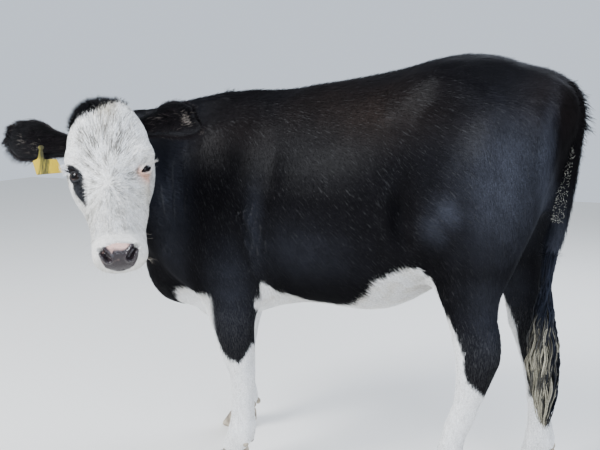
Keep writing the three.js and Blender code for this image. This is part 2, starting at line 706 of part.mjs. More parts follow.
function tailSolid(line, { rings: steps, slim }, extra) {
  const [x, z, radius] = ['x', 'z', 'radius'].map((size) => curveThrough(line, size));
  const last = line.length - 1;
  const around = roundOf.tail;
  const rings = Array.from({ length: steps + 1 }, (_, i) => {
    const t = last * i / steps;
    const ahead = [x(t + 0.02) - x(t - 0.02), z(t + 0.02) - z(t - 0.02)];
    const turn = Math.atan2(ahead[1], ahead[0]);
    return Array.from({ length: around }, (__, j) => {
      const angle = 2 * Math.PI * j / around;
      const across = Math.cos(angle) * (radius(t) + extra);
      const out = Math.sin(angle) * (radius(t) * slim + extra);
      return [x(t) - Math.sin(turn) * out, across, z(t) + Math.cos(turn) * out];
    });
  });
  return solidOfRings(rings);
}

// ---------------------------------------------------------------- the pieces

const group = new THREE.Group();
group.name = 'heifer';

function addPiece(name, solid, material) {
  const mesh = new THREE.Mesh(geometryOf(mainBody(solid)), material);
  mesh.name = name;
  group.add(mesh);
}

const turnedOver = ({ through, facing }) => ({ through, facing: scale(facing, -1) });
const headPlane = {
  through: fromHead(headCut.through),
  facing: scale(add(scale(headAxis, headCut.axisShare), scale(headFront, headCut.frontShare)), -1),
};
const level = (height, up) => ({ through: [0, 0, height], facing: [0, 0, up] });

function limbPlanes(name) {
  const side = sideOf(name);
  const cuts = { fore: foreCuts, hind: hindCuts }[pairOf(name)];
  return cuts.map(({ through: [x, y, z], facing: [u, v, w] }) => ({
    through: [x, side * y, z], facing: [u, side * v, w] }));
}

const limbs = Object.keys(legs);
const tailRoom = tailSolid(tailLine, tailLoft, partingGap);

const trunkNet = solidOf(netOver(trunkField, nets.trunk))
  .subtract(beyondPlane(neckCut.through, neckCut.facing, halfGap));
const trunkSolid = limbs.reduce(
  (left, name) => left.subtract(regionBehind(limbPlanes(name), -halfGap)), trunkNet);
addPiece('trunk', trunkSolid.subtract(tailRoom), coats.black);

const neckSolid = solidOf(netOver((p) => blend(shoulderField(p), headField(p), blends.head), nets.neck))
  .intersect(regionBehind([turnedOver(neckCut), turnedOver(headPlane)], halfGap));
const clearOfEars = (solid) => Object.values(ears)
  .reduce((left, shape) => left.subtract(earSolid(shape, partingGap)), solid);
addPiece('neck', clearOfEars(neckSolid), coats.black);

const headSolid = solidOf(netOver((p) => blend(headField(p), neck(p), blends.head), nets.head, fromHead))
  .intersect(regionBehind([headPlane], halfGap));
const headWithSockets = [-1, 1].reduce(
  (left, side) => left.subtract(eyeSolid(side, partingGap)), clearOfEars(headSolid));
addPiece('head', headWithSockets, coats.white);
addPiece('eye_left', eyeSolid(1, 0), coats.eye);
addPiece('eye_right', eyeSolid(-1, 0), coats.eye);
addPiece('ear_left', earSolid(ears.ear_left, 0), coats.black);
addPiece('ear_right', earSolid(ears.ear_right, 0).subtract(tagPin(partingGap)), coats.black);
addPiece('ear_tag', tagSolid(), coats.tag);

for (const name of limbs) {
  const pair = pairOf(name);
  const side = sideOf(name);
  const joint = midJoint[pair];
  const [front, rear] = limbReach[pair];
  const [near, far] = side > 0
    ? [limbReach.inner, limbReach.outer]
    : [-limbReach.outer, -limbReach.inner];
  const carryAt = curveThrough(stance[name], 'carry');
  const footY = side * footSpread[pair];

  const upperNet = netOver((p) => blend(shoulderField(p), legs[name](p), blends.leg), {
    low: [front, near, joint - limbReach.lap],
    high: [rear, far, nets.upper.top],
    step: nets.upper.step,
  });
  const upper = solidOf(upperNet)
    .intersect(regionBehind([...limbPlanes(name), level(joint, -1)], halfGap))
    .subtract(tailRoom);
  addPiece(`${name}_upper`, upper, coats.black);

  const lowerNet = netOver(legs[name], {
    low: [front, near, coronet - limbReach.footLap],
    high: [rear, far, joint + limbReach.lap],
    step: nets.lower.step,
  });
  const heelX = dewclaw[pair] + carryAt(dewclaw.height);
  const lower = [-1, 1]
    .reduce((joined, s) => joined.add(dewclawSolid(heelX, footY + s * dewclaw.apart)), solidOf(lowerNet))
    .intersect(regionBehind([level(joint, 1), level(coronet, -1)], halfGap));
  addPiece(`${name}_lower`, lower, coats.white);

  const footX = footAt[pair] + carryAt(coronet);
  addPiece(`${name}_outer_claw`, clawSolid(footX, footY + side * clawApart, -side), coats.horn);
  addPiece(`${name}_inner_claw`, clawSolid(footX, footY - side * clawApart, side), coats.horn);
}

addPiece('tail', tailSolid(tailLine, tailLoft, 0), coats.black);
addPiece('tail_switch', tailSolid(switchLine, switchLoft, 0), coats.switch);

// The origin is under the middle of the whole animal, on the ground.
const bounds = new THREE.Box3().setFromObject(group);
const middle = bounds.getCenter(new THREE.Vector3());
group.position.set(-middle.x, -middle.y, -bounds.min.z);

export default group;
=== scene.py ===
import math

import bpy
import numpy as np
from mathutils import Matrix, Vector
from mathutils.bvhtree import BVHTree


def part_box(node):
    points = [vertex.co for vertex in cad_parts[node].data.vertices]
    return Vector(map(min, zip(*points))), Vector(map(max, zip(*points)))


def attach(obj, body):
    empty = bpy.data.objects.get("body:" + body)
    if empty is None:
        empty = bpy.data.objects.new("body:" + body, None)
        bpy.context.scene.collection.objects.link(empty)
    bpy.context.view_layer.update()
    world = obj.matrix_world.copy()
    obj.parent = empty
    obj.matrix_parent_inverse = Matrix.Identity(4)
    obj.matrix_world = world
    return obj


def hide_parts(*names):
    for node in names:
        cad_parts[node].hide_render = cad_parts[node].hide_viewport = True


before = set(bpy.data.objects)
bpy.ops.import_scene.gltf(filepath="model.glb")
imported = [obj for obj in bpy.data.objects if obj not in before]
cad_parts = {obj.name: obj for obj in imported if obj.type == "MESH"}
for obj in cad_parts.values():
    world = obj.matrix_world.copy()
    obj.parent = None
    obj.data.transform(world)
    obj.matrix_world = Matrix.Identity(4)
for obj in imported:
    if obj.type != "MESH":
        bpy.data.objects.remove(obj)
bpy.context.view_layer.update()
chance = np.random.default_rng(41)


def unit(v):
    v = np.asarray(v, float)
    return v / np.maximum(np.linalg.norm(v, axis=-1, keepdims=True), 1e-9)


def ramp(low, high, v):  # 0 at low, 1 at high, soft at both ends
    t = np.clip((np.asarray(v, float) - low) / (high - low), 0, 1)
    return t * t * (3 - 2 * t)


# The head's own frame, in millimetres: a from poll to muzzle, l to her left, n out of the forehead.
headPlace = {"poll": (-505, -485, 1086), "nose": (-346, -665, 741), "faces": (1185, -1635, 190)}
eye = {"along": 177, "side": 85, "depth": -42}
poll = np.array(headPlace["poll"], float)
headAxis = unit(np.subtract(headPlace["nose"], poll))
headLeft = unit(np.cross(headPlace["faces"], headAxis))
headFront = unit(np.cross(headAxis, headLeft))
headFrame = np.array([headAxis, headLeft, headFront])


def toHead(p):
    return (p - poll) @ headFrame.T


def fromHead(q):
    return poll + np.asarray(q, float) @ headFrame


eyeLow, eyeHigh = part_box("eye_left")
shift = np.array(eyeLow + eyeHigh) * 500 - fromHead((eye["along"], eye["side"], eye["depth"]))


def toBody(co):  # scene metres to the animal's millimetres
    return np.asarray(co, float) * 1000 - shift


def toScene(p):
    return (np.asarray(p, float) + shift) / 1000


def readAll(items, key, width, kind=np.float32):  # one value of every item, as rows
    out = np.empty(len(items) * width, kind)
    items.foreach_get(key, out)
    return out.reshape(-1, width)


def pointsOf(piece):
    return toBody(readAll(piece.data.vertices, "co", 3))


def placePoints(piece, points):
    piece.data.vertices.foreach_set("co", toScene(points).astype(np.float32).ravel())
    piece.data.update()


def normalsOf(piece):
    return readAll(piece.data.vertex_normals, "vector", 3).astype(float)


def setColour(piece, name, rgb):
    held = piece.data.color_attributes.new(name, "FLOAT_COLOR", "POINT")
    rgba = np.ones((len(rgb), 4), np.float32)
    rgba[:, :3] = rgb
    held.data.foreach_set("color", rgba.ravel())


def setAmount(piece, name, values):
    held = piece.data.attributes.new(name, "FLOAT", "POINT")
    held.data.foreach_set("value", np.asarray(values, np.float32))


def clearSelection():
    bpy.ops.object.select_all(action="DESELECT")


def chooseOnly(piece):
    clearSelection()
    piece.select_set(True)
    bpy.context.view_layer.objects.active = piece


def joinInto(first, others):
    clearSelection()
    for piece in [first] + others:
        piece.select_set(True)
    bpy.context.view_layer.objects.active = first
    bpy.ops.object.join()


def editAll(piece, tool, **options):  # runs one edit-mode tool on a whole piece
    chooseOnly(piece)
    bpy.ops.object.mode_set(mode="EDIT")
    bpy.ops.mesh.select_all(action="SELECT")
    tool(**options)
    bpy.ops.object.mode_set(mode="OBJECT")


def editFaces(piece, chosen, tool, **options):  # the same, on the faces whose corners are all chosen
    mesh = piece.data
    corners = readAll(mesh.loops, "vertex_index", 1, np.int32)[:, 0]
    starts = readAll(mesh.polygons, "loop_start", 1, np.int32)[:, 0]
    mesh.vertices.foreach_set("select", chosen)
    mesh.edges.foreach_set("select", chosen[readAll(mesh.edges, "vertices", 2, np.int32)].all(1))
    mesh.polygons.foreach_set("select", np.logical_and.reduceat(chosen[corners], starts))
    chooseOnly(piece)
    bpy.ops.object.mode_set(mode="EDIT")
    tool(**options)
    bpy.ops.object.mode_set(mode="OBJECT")


relaxSteps = (0.5, -0.53)  # in, and a little farther back out, so that nothing gets thinner


def relax(piece, rounds, where=None):  # evens out the surface
    points = pointsOf(piece)
    pairs = readAll(piece.data.edges, "vertices", 2, np.int32)
    a, b = pairs.T
    count = len(points)
    around = np.maximum(np.bincount(pairs.ravel(), minlength=count), 1)[:, None]
    strength = 1 if where is None else where[:, None]
    for _ in range(rounds):
        for share in relaxSteps:
            total = np.stack([
                np.bincount(a, points[b, i], count) + np.bincount(b, points[a, i], count)
                for i in range(3)], 1)
            points = points + share * strength * (total / around - points)
    placePoints(piece, points)


def swirl(p, size, seed):  # a smooth wandering value, about -1 to 1
    a = p / size + seed * 1.7
    return (np.sin(a[:, 0] + 1.3 * np.sin(a[:, 1])) + np.sin(1.1 * a[:, 1] + 1.7 * np.sin(a[:, 2] + seed))
            + np.sin(0.9 * a[:, 2] + 1.5 * np.sin(a[:, 0] * 1.2 + seed))) / 3


def swirls(p, sizes, seed):  # three such values, for a wandering direction
    return np.stack([swirl(p, size, seed + i) for i, size in enumerate(np.broadcast_to(sizes, 3))], 1)


def between(a, b, share):
    return a * (1 - share) + b * share


def hump(place, centre, reach):  # 1 at the centre, falling away smoothly past the reach
    return np.exp(-(((place - np.array(centre, float)) / np.array(reach, float)) ** 2).sum(1))


def linear(hexCode):  # sRGB hex to linear red, green, blue
    parts = [int(hexCode[i:i + 2], 16) / 255 for i in (1, 3, 5)]
    return np.array([c / 12.92 if c <= 0.04045 else ((c + 0.055) / 1.055) ** 2.4 for c in parts])


def pointAlong(line, at):  # a place on a line, at from 0 to 1
    stops = np.linspace(0, 1, len(line))
    return np.stack([np.interp(at, stops, column) for column in np.array(line, float).T], -1)


def closestOn(line, points):  # distance to a run of straight lengths, and how far along it, 0 to 1
    line = np.asarray(line, float)
    best = np.full(len(points), np.inf)
    along = np.zeros(len(points))
    for i in range(len(line) - 1):
        d = line[i + 1] - line[i]
        t = np.clip(((points - line[i]) @ d) / (d @ d), 0, 1)
        gap = np.linalg.norm(points - line[i] - t[:, None] * d, axis=1)
        nearer = gap < best
        best[nearer] = gap[nearer]
        along[nearer] = (i + t[nearer]) / (len(line) - 1)
    return best, along


# Where the skin belongs to the head, a leg or the tail, 0 to 1.
def onHead(p):
    a, l, n = toHead(p).T
    return ramp(-70, 0, a) * ramp(-235, -185, n) * ramp(175, 145, np.abs(l)) * ramp(60, 30, n)


def onLeg(p):
    return ramp(570, 470, p[:, 2])


tailBone = [(574, 0, 1070), (573, 0, 1050), (570, 0, 930), (556, 0, 800), (536, 0, 690)]


def onTail(p):
    return ramp(32, 26, closestOn(tailBone, p)[0]) * ramp(1100, 1070, p[:, 2])


coatTones = {
    "black": "#0a090c",
    "rust": "#261e1a",
    # painted sheen: the colour of the sky's reflection on the black coat
    "blue": "#3f424c",
    "white": "#f8f8f8",
    # the white hair's darker tone: partly its own colour, partly painted shade deep in the coat
    "cream": "#cfc6b2",
    "pinkSkin": "#e0a486",
    "strawDirt": "#a39472",
}

# The edges between black and white on her left, as heights along her. Her right has them a little changed.
marking = {
    "belly": [(-250, 470), (-234, 591), (-213, 573), (-192, 548), (-169, 542), (-150, 524), (-85, 519),
              (-22, 525), (9, 535), (75, 585), (103, 625), (130, 639), (160, 656), (196, 669), (223, 661),
              (252, 642), (264, 617), (300, 540)],
    "brisket": [(-640, 300), (-590, 380), (-578, 440), (-566, 508), (-530, 532), (-501, 531), (-417, 548),
                (-380, 545)],
    "foreLeg": [(-434, 600), (-393, 545), (-386, 465), (-366, 404), (-350, 368), (-330, 350), (-312, 345),
                (-296, 337), (-284, 356), (-272, 382), (-262, 440), (-254, 531), (-236, 600)],
    "hindFront": [(331, 405), (356, 384), (376, 362), (412, 354), (448, 347), (489, 330), (525, 314),
                  (600, 296)],
    "farHindFront": [(189, 474), (341, 468), (400, 454), (487, 427), (545, 402), (640, 330)],
    "poll": [(-130, 90), (-108, 70), (-102, 50), (-66, 40), (-42, 41), (-14, 31), (9, 15), (30, 3), (54, -5),
             (85, 0), (109, 15), (130, 40)],
    "face": [(0, -80), (80, -88), (140, -122), (220, -175), (300, -230)],
    "eyePatch": [(172, -87, -29), (190, -79, -32), (211, -79, -33), (231, -74, -35), (256, -66, -40)],
    "patchHalf": [17, 22, 21, 18, 7],
}


def edgeAt(name, at):
    return np.interp(at, *zip(*marking[name]))


def whiteness(p):  # 1 where the coat is white, 0 where it is black
    x, y, z = p.T
    farther = np.where(y > 0, 1.0, 0.0)
    ragged = 5 * swirl(p, 9, 1) + 7 * swirl(p, 26, 2)
    fromSide = ragged + farther * 14 * swirl(p, 120, 5)
    below = ramp(-3, 3, edgeAt("belly", x) + fromSide - z)
    belly = below * ramp(-246, -234, x) * ramp(296, 282, x)
    chest = ramp(-3, 3, edgeAt("brisket", x) + 0.7 * ragged - z) * ramp(-366, -390, x)
    outer = ramp(112, 124, np.abs(y) + 0.4 * ragged)
    vee = ramp(-3, 3, z - edgeAt("foreLeg", x + farther * 120) - 0.5 * ragged)
    fore = (ramp(0, -20, x + 140) * ramp(-480, -450, x) * (1 - outer * vee)
            * ramp(548, 520, z - 20 * (1 - outer)))
    hindOuter = ramp(128, 140, np.abs(y) + 0.3 * ragged)
    blackOut = ramp(-3, 3, x - farther * 130 - edgeAt("hindFront", z) - 0.4 * ragged) * ramp(325, 335, z)
    inFront = edgeAt("farHindFront", z) - (1 - farther) * 120
    blackIn = ramp(-3, 3, x - inFront - 0.5 * ragged) * ramp(236, 250, z + 0.3 * ragged)
    hindBlack = hindOuter * blackOut + (1 - hindOuter) * blackIn
    hind = ramp(150, 190, x) * (1 - hindBlack) * ramp(560, 530, z)
    white = np.maximum.reduce([belly, chest, fore, hind])
    white *= 1 - ramp(505, 530, x) * ramp(40, 30, np.abs(y)) * ramp(150, 200, z)
    q = toHead(p)
    a, l, n = q.T
    face = ramp(-5, 5, n - edgeAt("face", a) + 0.8 * ragged)
    face *= ramp(-3, 3, a - edgeAt("poll", l) - 0.5 * ragged)
    patch, place = closestOn(marking["eyePatch"], q)
    half = np.interp(place, (0, 0.25, 0.5, 0.75, 1), marking["patchHalf"])
    face *= 1 - ramp(1.5, -1.5, patch - half + 0.2 * ragged)
    return np.clip(between(white, face, onHead(p)), 0, 1)


# Where the black coat gets a painted blue sheen, standing in for the sky's reflection on its lit forms, and
# where its hair is browner: place x, z; reach x, z; how far.
paintedSheenAreas = [((430, 890), (105, 160), 0.8), ((266, 778), (34, 40), 0.65), ((300, 822), (44, 46), 0.65),
             ((520, 930), (24, 150), 0.75), ((548, 730), (34, 110), 0.8), ((-505, 800), (60, 190), 0.5),
             ((-318, 560), (60, 130), 0.45), ((410, 560), (70, 110), 0.42), ((-238, 730), (26, 120), 0.4),
             ((-100, 690), (150, 80), 0.3)]
brownAreas = [((60, 1060), (230, 70), 0.7), ((520, 1080), (80, 70), 0.5), ((-330, 1010), (120, 70), 0.4)]


def behindRump(p):  # the dark long hair at the root of the tail
    return ramp(538, 550, p[:, 0]) * ramp(850, 930, p[:, 2])


def inAreas(p, areas):
    return np.maximum.reduce([
        amount * hump(p[:, ::2], place, reach) for place, reach, amount in areas])[:, None]


def coatColour(p, tone, white=None):  # tone runs from 0 to 1, and sets each hair's own shade
    white = (whiteness(p) if white is None else white)[:, None]
    tone = np.asarray(tone, float)[:, None]
    c = {name: linear(code) for name, code in coatTones.items()}
    sun = inAreas(p, brownAreas) * (0.6 + 0.4 * ramp(-0.4, 0.6, swirl(p, 50, 3)))[:, None]
    # painted sheen: the reflection and light on the thigh, stifle, neck and legs, uneven, and left off the
    # long hair at the tail's root
    uneven = (0.75 + 0.25 * ramp(-0.4, 0.6, swirl(p, 60, 21))) * (1 - behindRump(p))
    sheen = inAreas(p, paintedSheenAreas) * uneven[:, None]
    black = between(between(c["black"], c["rust"], sun), c["blue"], sheen)
    black = black * (0.72 + 0.56 * tone) * (1 - 0.5 * onHead(p))[:, None]
    q = toHead(p)
    # partly painted shade: each white hair's random tone runs towards a darker cream, standing in for the
    # shade deep in the coat, less on the legs
    deep = (1 - tone ** 0.5) * (1 - 0.7 * onLeg(p)[:, None])
    soiledFeet = ramp(120, 30, p[:, 2:3]) * 0.30 * ramp(-0.4, 0.8, swirl(p, 22, 7))[:, None]
    soiledPoll = hump(q, (34, -2, 0), (56, 28, 40))[:, None] * (1 - 0.6 * tone)
    bareEye = 0.9 * hump(q, (207, 78, -28), (17, 18, 24)) + 0.5 * hump(q, (196, 64, -14), (12, 9, 14))
    tearTrack = 0.55 * hump(q, (238, 80, -44), (18, 18, 22))
    pale = between(c["white"], c["cream"], deep)
    pale = between(between(pale, c["strawDirt"], soiledFeet), c["strawDirt"], soiledPoll)
    pale = between(pale, c["pinkSkin"], np.minimum(bareEye, 0.8)[:, None])
    pale = between(pale, c["strawDirt"], tearTrack[:, None])
    return between(black, pale, white)


print("frame loaded")


def joinCopies(nodes, label):  # welded copies of CAD nodes as one mesh
    copies = []
    for name in nodes:
        copies.append(bpy.data.objects.new(f"{label}_{name}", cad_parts[name].data.copy()))
        bpy.context.collection.objects.link(copies[-1])
    if len(copies) > 1:
        joinInto(copies[-1], copies[:-1])
    copies[-1].name = label
    editAll(copies[-1], bpy.ops.mesh.remove_doubles, threshold=1e-5)
    return copies[-1]


def addModifier(piece, kind, **settings):
    chooseOnly(piece)
    made = piece.modifiers.new(kind.lower(), kind)
    for key, value in settings.items():
        setattr(made, key, value)
    bpy.ops.object.modifier_apply(modifier=made.name)


skinSizes = {"voxel": 0.0118, "overlap": 0.0006, "rounds": 34, "finerRounds": (8, 6, 3)}
limbs = [f"{pair}_{side}_{part}" for pair in ("fore", "hind") for side in ("left", "right")
         for part in ("upper", "lower")]
fleshNodes = ["trunk", "neck", "head", "tail"] + limbs


def makeSkinForm():  # the solids grown together, smoothed, and made finer at the head, the lids and the feet
    skin = joinCopies(fleshNodes + ["eye_left", "eye_right"], "skin")
    addModifier(skin, "DISPLACE", strength=skinSizes["overlap"], mid_level=0)
    addModifier(skin, "REMESH", mode="VOXEL", voxel_size=skinSizes["voxel"], use_smooth_shade=True)
    relax(skin, skinSizes["rounds"])
    for finest, rounds in enumerate(skinSizes["finerRounds"]):
        points = pointsOf(skin)
        q = toHead(points)
        a, l, n = q.T
        inHead = (a > -20) & (np.abs(l) < 125) & (n > -205) & (n < 60)
        if finest == 0:
            chosen = inHead | (points[:, 2] < 420)
        elif finest == 1:
            chosen = inHead & (n > -135) & (a > 60)
        else:
            lidPlaces = [(eye["along"], s * (eye["side"] + 12), eye["depth"]) for s in (-1, 1)]
            nearEye = np.minimum(*[np.linalg.norm(q - place, axis=1) for place in lidPlaces])
            chosen = (inHead & (a > 366) & (n > -100)) | (nearEye < 32)
        editFaces(skin, chosen, bpy.ops.mesh.subdivide, number_cuts=1, ngon=False)
        points = pointsOf(skin)
        relax(skin, rounds, onHead(points) if finest else np.maximum(onHead(points), onLeg(points)))
    return skin


skin = makeSkinForm()
print("skin form:", len(skin.data.vertices), "points")


eyeSet = {  # where each eyeball sits in the head and where its slit faces
    1: {"centre": (185, 74, -34), "out": (0.14, 0.62, 0.77), "open": (7.5, 6.0)},
    -1: {"centre": (187, -76, -38), "out": (0.14, -0.68, 0.72), "open": (10.5, 8.5)},
}
eyeBall = 20.0


def eyeFrame(side):  # centre of an eyeball, and its own directions: along the slit, up to the brow, outwards
    centre = np.array(eyeSet[side]["centre"], float)
    out = unit(eyeSet[side]["out"])
    seed = np.array((0.62, -0.6 * side, 0.45))
    along = unit(seed - out * np.dot(seed, out))
    up = np.cross(along, out) * side
    return centre, along, up * -np.sign(up[0]), out


lids = {"halfLength": 18.5, "over": 1.7, "sunk": 4.0, "reach": 34}


def slitHeight(u, v, side):  # how far a point lies outside the almond slit, in millimetres
    t = np.clip(np.abs(u) / lids["halfLength"], 0, 1.4)
    lean = 1 + 0.14 * u / lids["halfLength"]
    edge = np.where(v > 0, *eyeSet[side]["open"]) * (1 - t ** 2.2) * lean
    return np.where(t < 1, np.abs(v) - edge, np.hypot(np.abs(u) - lids["halfLength"], v))


headForms = [  # place a, l, n; reach a, l, n; how far it swells, the sides alike
    ((146, 74, -10), (26, 18, 18), 6),  # brow
    ((262, 62, -78), (52, 16, 12), 5),  # facial crest
    ((120, 92, -118), (56, 30, 36), 7),  # jaw muscle
    ((226, 64, -40), (20, 14, 14), -4),  # hollow in front of the eye
    ((100, 88, -62), (22, 18, 20), -5),  # hollow behind the eye
    ((40, 62, -62), (30, 26, 26), 6),  # ear root
    ((300, 30, -8), (60, 10, 10), 2),  # edge of the nose bone
    ((300, 0, 0), (70, 10, 14), -1.5),  # bridge of the nose
    ((352, 52, -72), (22, 14, 20), 5),  # upper lip
    ((392, 22, -118), (22, 22, 16), 6),  # chin
    ((408, 50, -50), (12, 10, 16), 3),  # wing of the nostril
    ((380, 32, -18), (10, 14, 10), 2.5),  # over the nostril
    ((236, 84, -130), (40, 20, 20), -4),  # behind the mouth corner
]

leftForms = [  # on her left only
    ((286, 64, -66), (48, 18, 34), 8),  # cheek
    ((156, 92, -14), (20, 18, 18), 5),  # brow
    ((214, 96, -56), (26, 16, 20), -6),  # under the eye
]

muzzle = {"middle": -4.0, "mouthDeep": 3.5, "mouthWide": 4.2, "lip": 1.2, "padDeep": 1.1, "padWide": 2.6,
          "nostrilDeep": 14, "nostrilWide": 4.2, "nostrilWing": 2.6}
mouthLine = [(322, 66, -108), (350, 62, -100), (378, 56, -90), (402, 44, -80), (417, 24, -73), (422, 0, -72)]
nostrilLine = [(389, 44, -22), (395, 38, -19), (404, 31, -20), (413, 24, -26)]
padEdge = [(380, 0, -11), (383, 24, -14), (388, 42, -20), (401, 46, -24), (415, 44, -34),
           (423, 35, -53), (426, 20, -61), (427, 0, -62)]

bodyForms = [  # place x, y, z; reach x, y, z; how far it swells, her two sides alike
    ((190, 225, 815), (28, 70, 84), -24),  # flank hollow
    ((280, 212, 800), (58, 60, 62), 15),  # stifle
    ((330, 150, 1085), (34, 34, 30), 7),  # hook bone
    ((236, 165, 1045), (60, 60, 46), -8),  # hollow before the hook bone
    ((410, 195, 960), (50, 60, 90), 8),  # thigh
    ((-300, 185, 800), (60, 60, 120), 8),  # shoulder
    ((-190, 215, 860), (40, 60, 150), -8),  # behind the shoulder
    ((-335, 165, 610), (50, 50, 60), 6),  # forearm
    ((-452, 60, 462), (54, 70, 46), 20),  # breastbone
    ((545, 60, 1075), (26, 30, 24), 6),  # pin bone
    ((550, 90, 985), (34, 50, 90), -19),  # beside the root of the tail
    ((535, 90, 870), (34, 46, 80), -13),  # behind the thigh
]

creases = [  # lines on her side, their half width and depth
    ([(-282, 0, 803), (-252, 0, 729), (-224, 0, 635)], 8, 6.5),
    ([(-260, 0, 824), (-224, 0, 743), (-199, 0, 645)], 8, 6.0),
    ([(-548, 0, 960), (-536, 0, 834), (-520, 0, 715)], 10, 7.0),
    ([(-518, 0, 960), (-505, 0, 834), (-490, 0, 725)], 10, 7.5),
    ([(-484, 0, 950), (-470, 0, 834), (-456, 0, 735)], 10, 6.0),
    ([(192, 0, 895), (184, 0, 815), (190, 0, 740), (208, 0, 690)], 26, 5.0),
    ([(546, 0, 1075), (546, 0, 1000), (542, 0, 920), (530, 0, 840)], 8, 4.0),
    ([(215, 0, 700), (250, 0, 650), (300, 0, 590)], 9, 3.0),
]


def addForms(move, forms, place, share, mirrored=True):  # adds each form's swelling to the points' move
    for centre, reach, amount in forms:
        for side in (-1, 1) if mirrored and centre[1] else (1,):
            move += share * (amount * hump(place, (centre[0], side * centre[1], centre[2]), reach))


def treeOf(points, faces):
    return BVHTree.FromPolygons([tuple(v) for v in points], [tuple(f) for f in faces])


def layOn(tree, q):  # points in the head's frame, moved to the skin
    return toHead(np.array([tree.find_nearest(v)[0] for v in fromHead(q)]))


def drawnOn(line, tree, side, middle):  # a line in the head's frame, laid on the skin
    steps = 9  # for each of its stretches
    line = np.array(line, float) * (1, side, 1) + (0, middle, 0)
    t = np.linspace(0, len(line) - 1, (len(line) - 1) * steps + 1)
    return layOn(tree, np.stack([np.interp(t, range(len(line)), line[:, i]) for i in range(3)], 1))


def shapeSkin():
    points = pointsOf(skin)
    tree = treeOf(points, [f.vertices for f in skin.data.polygons])
    q = toHead(points)
    move = np.zeros(len(points))
    nearHead = onHead(points)
    addForms(move, headForms, q, nearHead)
    addForms(move, leftForms, q, nearHead, mirrored=False)
    addForms(move, bodyForms, points, 1 - nearHead)
    for line, half, depth in creases:
        gap, along = closestOn(line, points * (1, 0, 1))
        fade = ramp(0, 0.25, along) * ramp(1, 0.75, along) * (points[:, 1] < -60) * (1 - nearHead)
        move += fade * depth * (0.7 * np.exp(-((gap - 1.6 * half) / half) ** 2) - np.exp(-(gap / half) ** 2))
    near = np.flatnonzero((q[:, 0] > 300) & (nearHead > 0))
    for side in (-1, 1):
        gap, along = closestOn(drawnOn(mouthLine, tree, side, muzzle["middle"] * 0.5), q[near])
        move[near] -= muzzle["mouthDeep"] * np.exp(-(gap / muzzle["mouthWide"]) ** 2) * ramp(0, 0.15, along)
        move[near] += muzzle["lip"] * np.exp(-((gap - 9) / 4) ** 2) * ramp(0, 0.2, along)
        gap = closestOn(drawnOn(padEdge, tree, side, muzzle["middle"]), q[near])[0]
        move[near] -= muzzle["padDeep"] * np.exp(-(gap / muzzle["padWide"]) ** 2)
        gap, along = closestOn(drawnOn(nostrilLine, tree, side, muzzle["middle"]), q[near])
        wide = muzzle["nostrilWide"] + 2.2 * along
        wing = muzzle["nostrilWing"] * np.exp(-((gap - wide - 4) / 3.0) ** 2)
        move[near] += wing - muzzle["nostrilDeep"] * ramp(wide + 1.5, wide - 2.5, gap)
    placePoints(skin, points + normalsOf(skin) * move[:, None])


def openLids():
    points = pointsOf(skin)
    q = toHead(points)
    for side in (-1, 1):
        centre, along, up, out = eyeFrame(side)
        d = q - centre
        u, v, w = d @ along, d @ up, d @ out
        r = np.linalg.norm(d, axis=1)
        outside = slitHeight(u, v, side)
        reach = np.hypot(u, v)
        edge = ramp(0.9, -0.9, outside)
        wanted = between(eyeBall + lids["over"], eyeBall - lids["sunk"], edge)
        wanted += 1.6 * np.exp(-((outside - 3.5) / 2.2) ** 2)
        hold = ramp(lids["reach"], lids["reach"] * 0.55, reach) * (w > 0)
        fresh = centre + d * (wanted / np.maximum(r, 1))[:, None]
        q = between(q, fresh, hold[:, None])
    near = onHead(points) > 0
    points[near] = fromHead(q[near])
    placePoints(skin, points)


coatDepth = {"body": 5.0, "leg": 2.8, "face": 2.2, "crown": 13.0, "muzzle": 0.6, "tail": 4.0}


def depthOfCoat(points):  # in millimetres
    a, l, n = toHead(points).T
    face = between(coatDepth["face"], coatDepth["muzzle"], ramp(340, 372, a))
    crown = ramp(30, -12, a) * ramp(-120, -70, n) * (0.55 + 0.45 * ramp(40, -50, l))
    face = face + coatDepth["crown"] * crown * ramp(-130, -90, l)
    body = between(coatDepth["body"], coatDepth["leg"], onLeg(points))
    return between(between(body, coatDepth["tail"], onTail(points)), face, onHead(points))


def settleSkin():  # draws the skin in by the depth of the coat
    points = pointsOf(skin)
    placePoints(skin, points - normalsOf(skin) * depthOfCoat(points)[:, None])


shapeSkin()
settleSkin()
openLids()
print("skin shaped")


def meshFrom(name, points, faces, smooth=True):  # a new mesh object from points in millimetres
    mesh = bpy.data.meshes.new(name)
    mesh.from_pydata([tuple(v) for v in toScene(points)], [], [tuple(f) for f in faces])
    piece = bpy.data.objects.new(name, mesh)
    bpy.context.collection.objects.link(piece)
    if smooth:
        mesh.shade_smooth()
    else:
        mesh.shade_flat()
    return piece


def faceOutwards(piece):
    editAll(piece, bpy.ops.mesh.normals_make_consistent, inside=False)


earSizes = {"faces": (0.10, 0, 1), "rows": 54, "across": 27, "wall": 3.4, "reach": 0.95}
earStations = np.array([
    (0, 26, 13), (0.16, 28, 17), (0.36, 38, 20), (0.56, 54, 22), (0.76, 54, 16), (0.92, 37, 9),
    (1, 15, 3)], float)
ears = {
    "left": {"root": (50, 62, -66), "along": (-0.30, 0.92, -0.22), "length": 196, "ends": 0.95,
             "drop": [0, 0, 0, 0, 0, 0, 0]},
    "right": {"root": (78, -62, -66), "along": (-0.29, -0.92, -0.24), "length": 198, "ends": 1.0,
              "drop": [8, 10, 8, 2, 0, -10, -18]},
}


def earFrame(shape):
    run = unit(shape["along"])
    face = unit(np.array(earSizes["faces"]) - run * np.dot(earSizes["faces"], run))
    return run, face, np.cross(face, run)


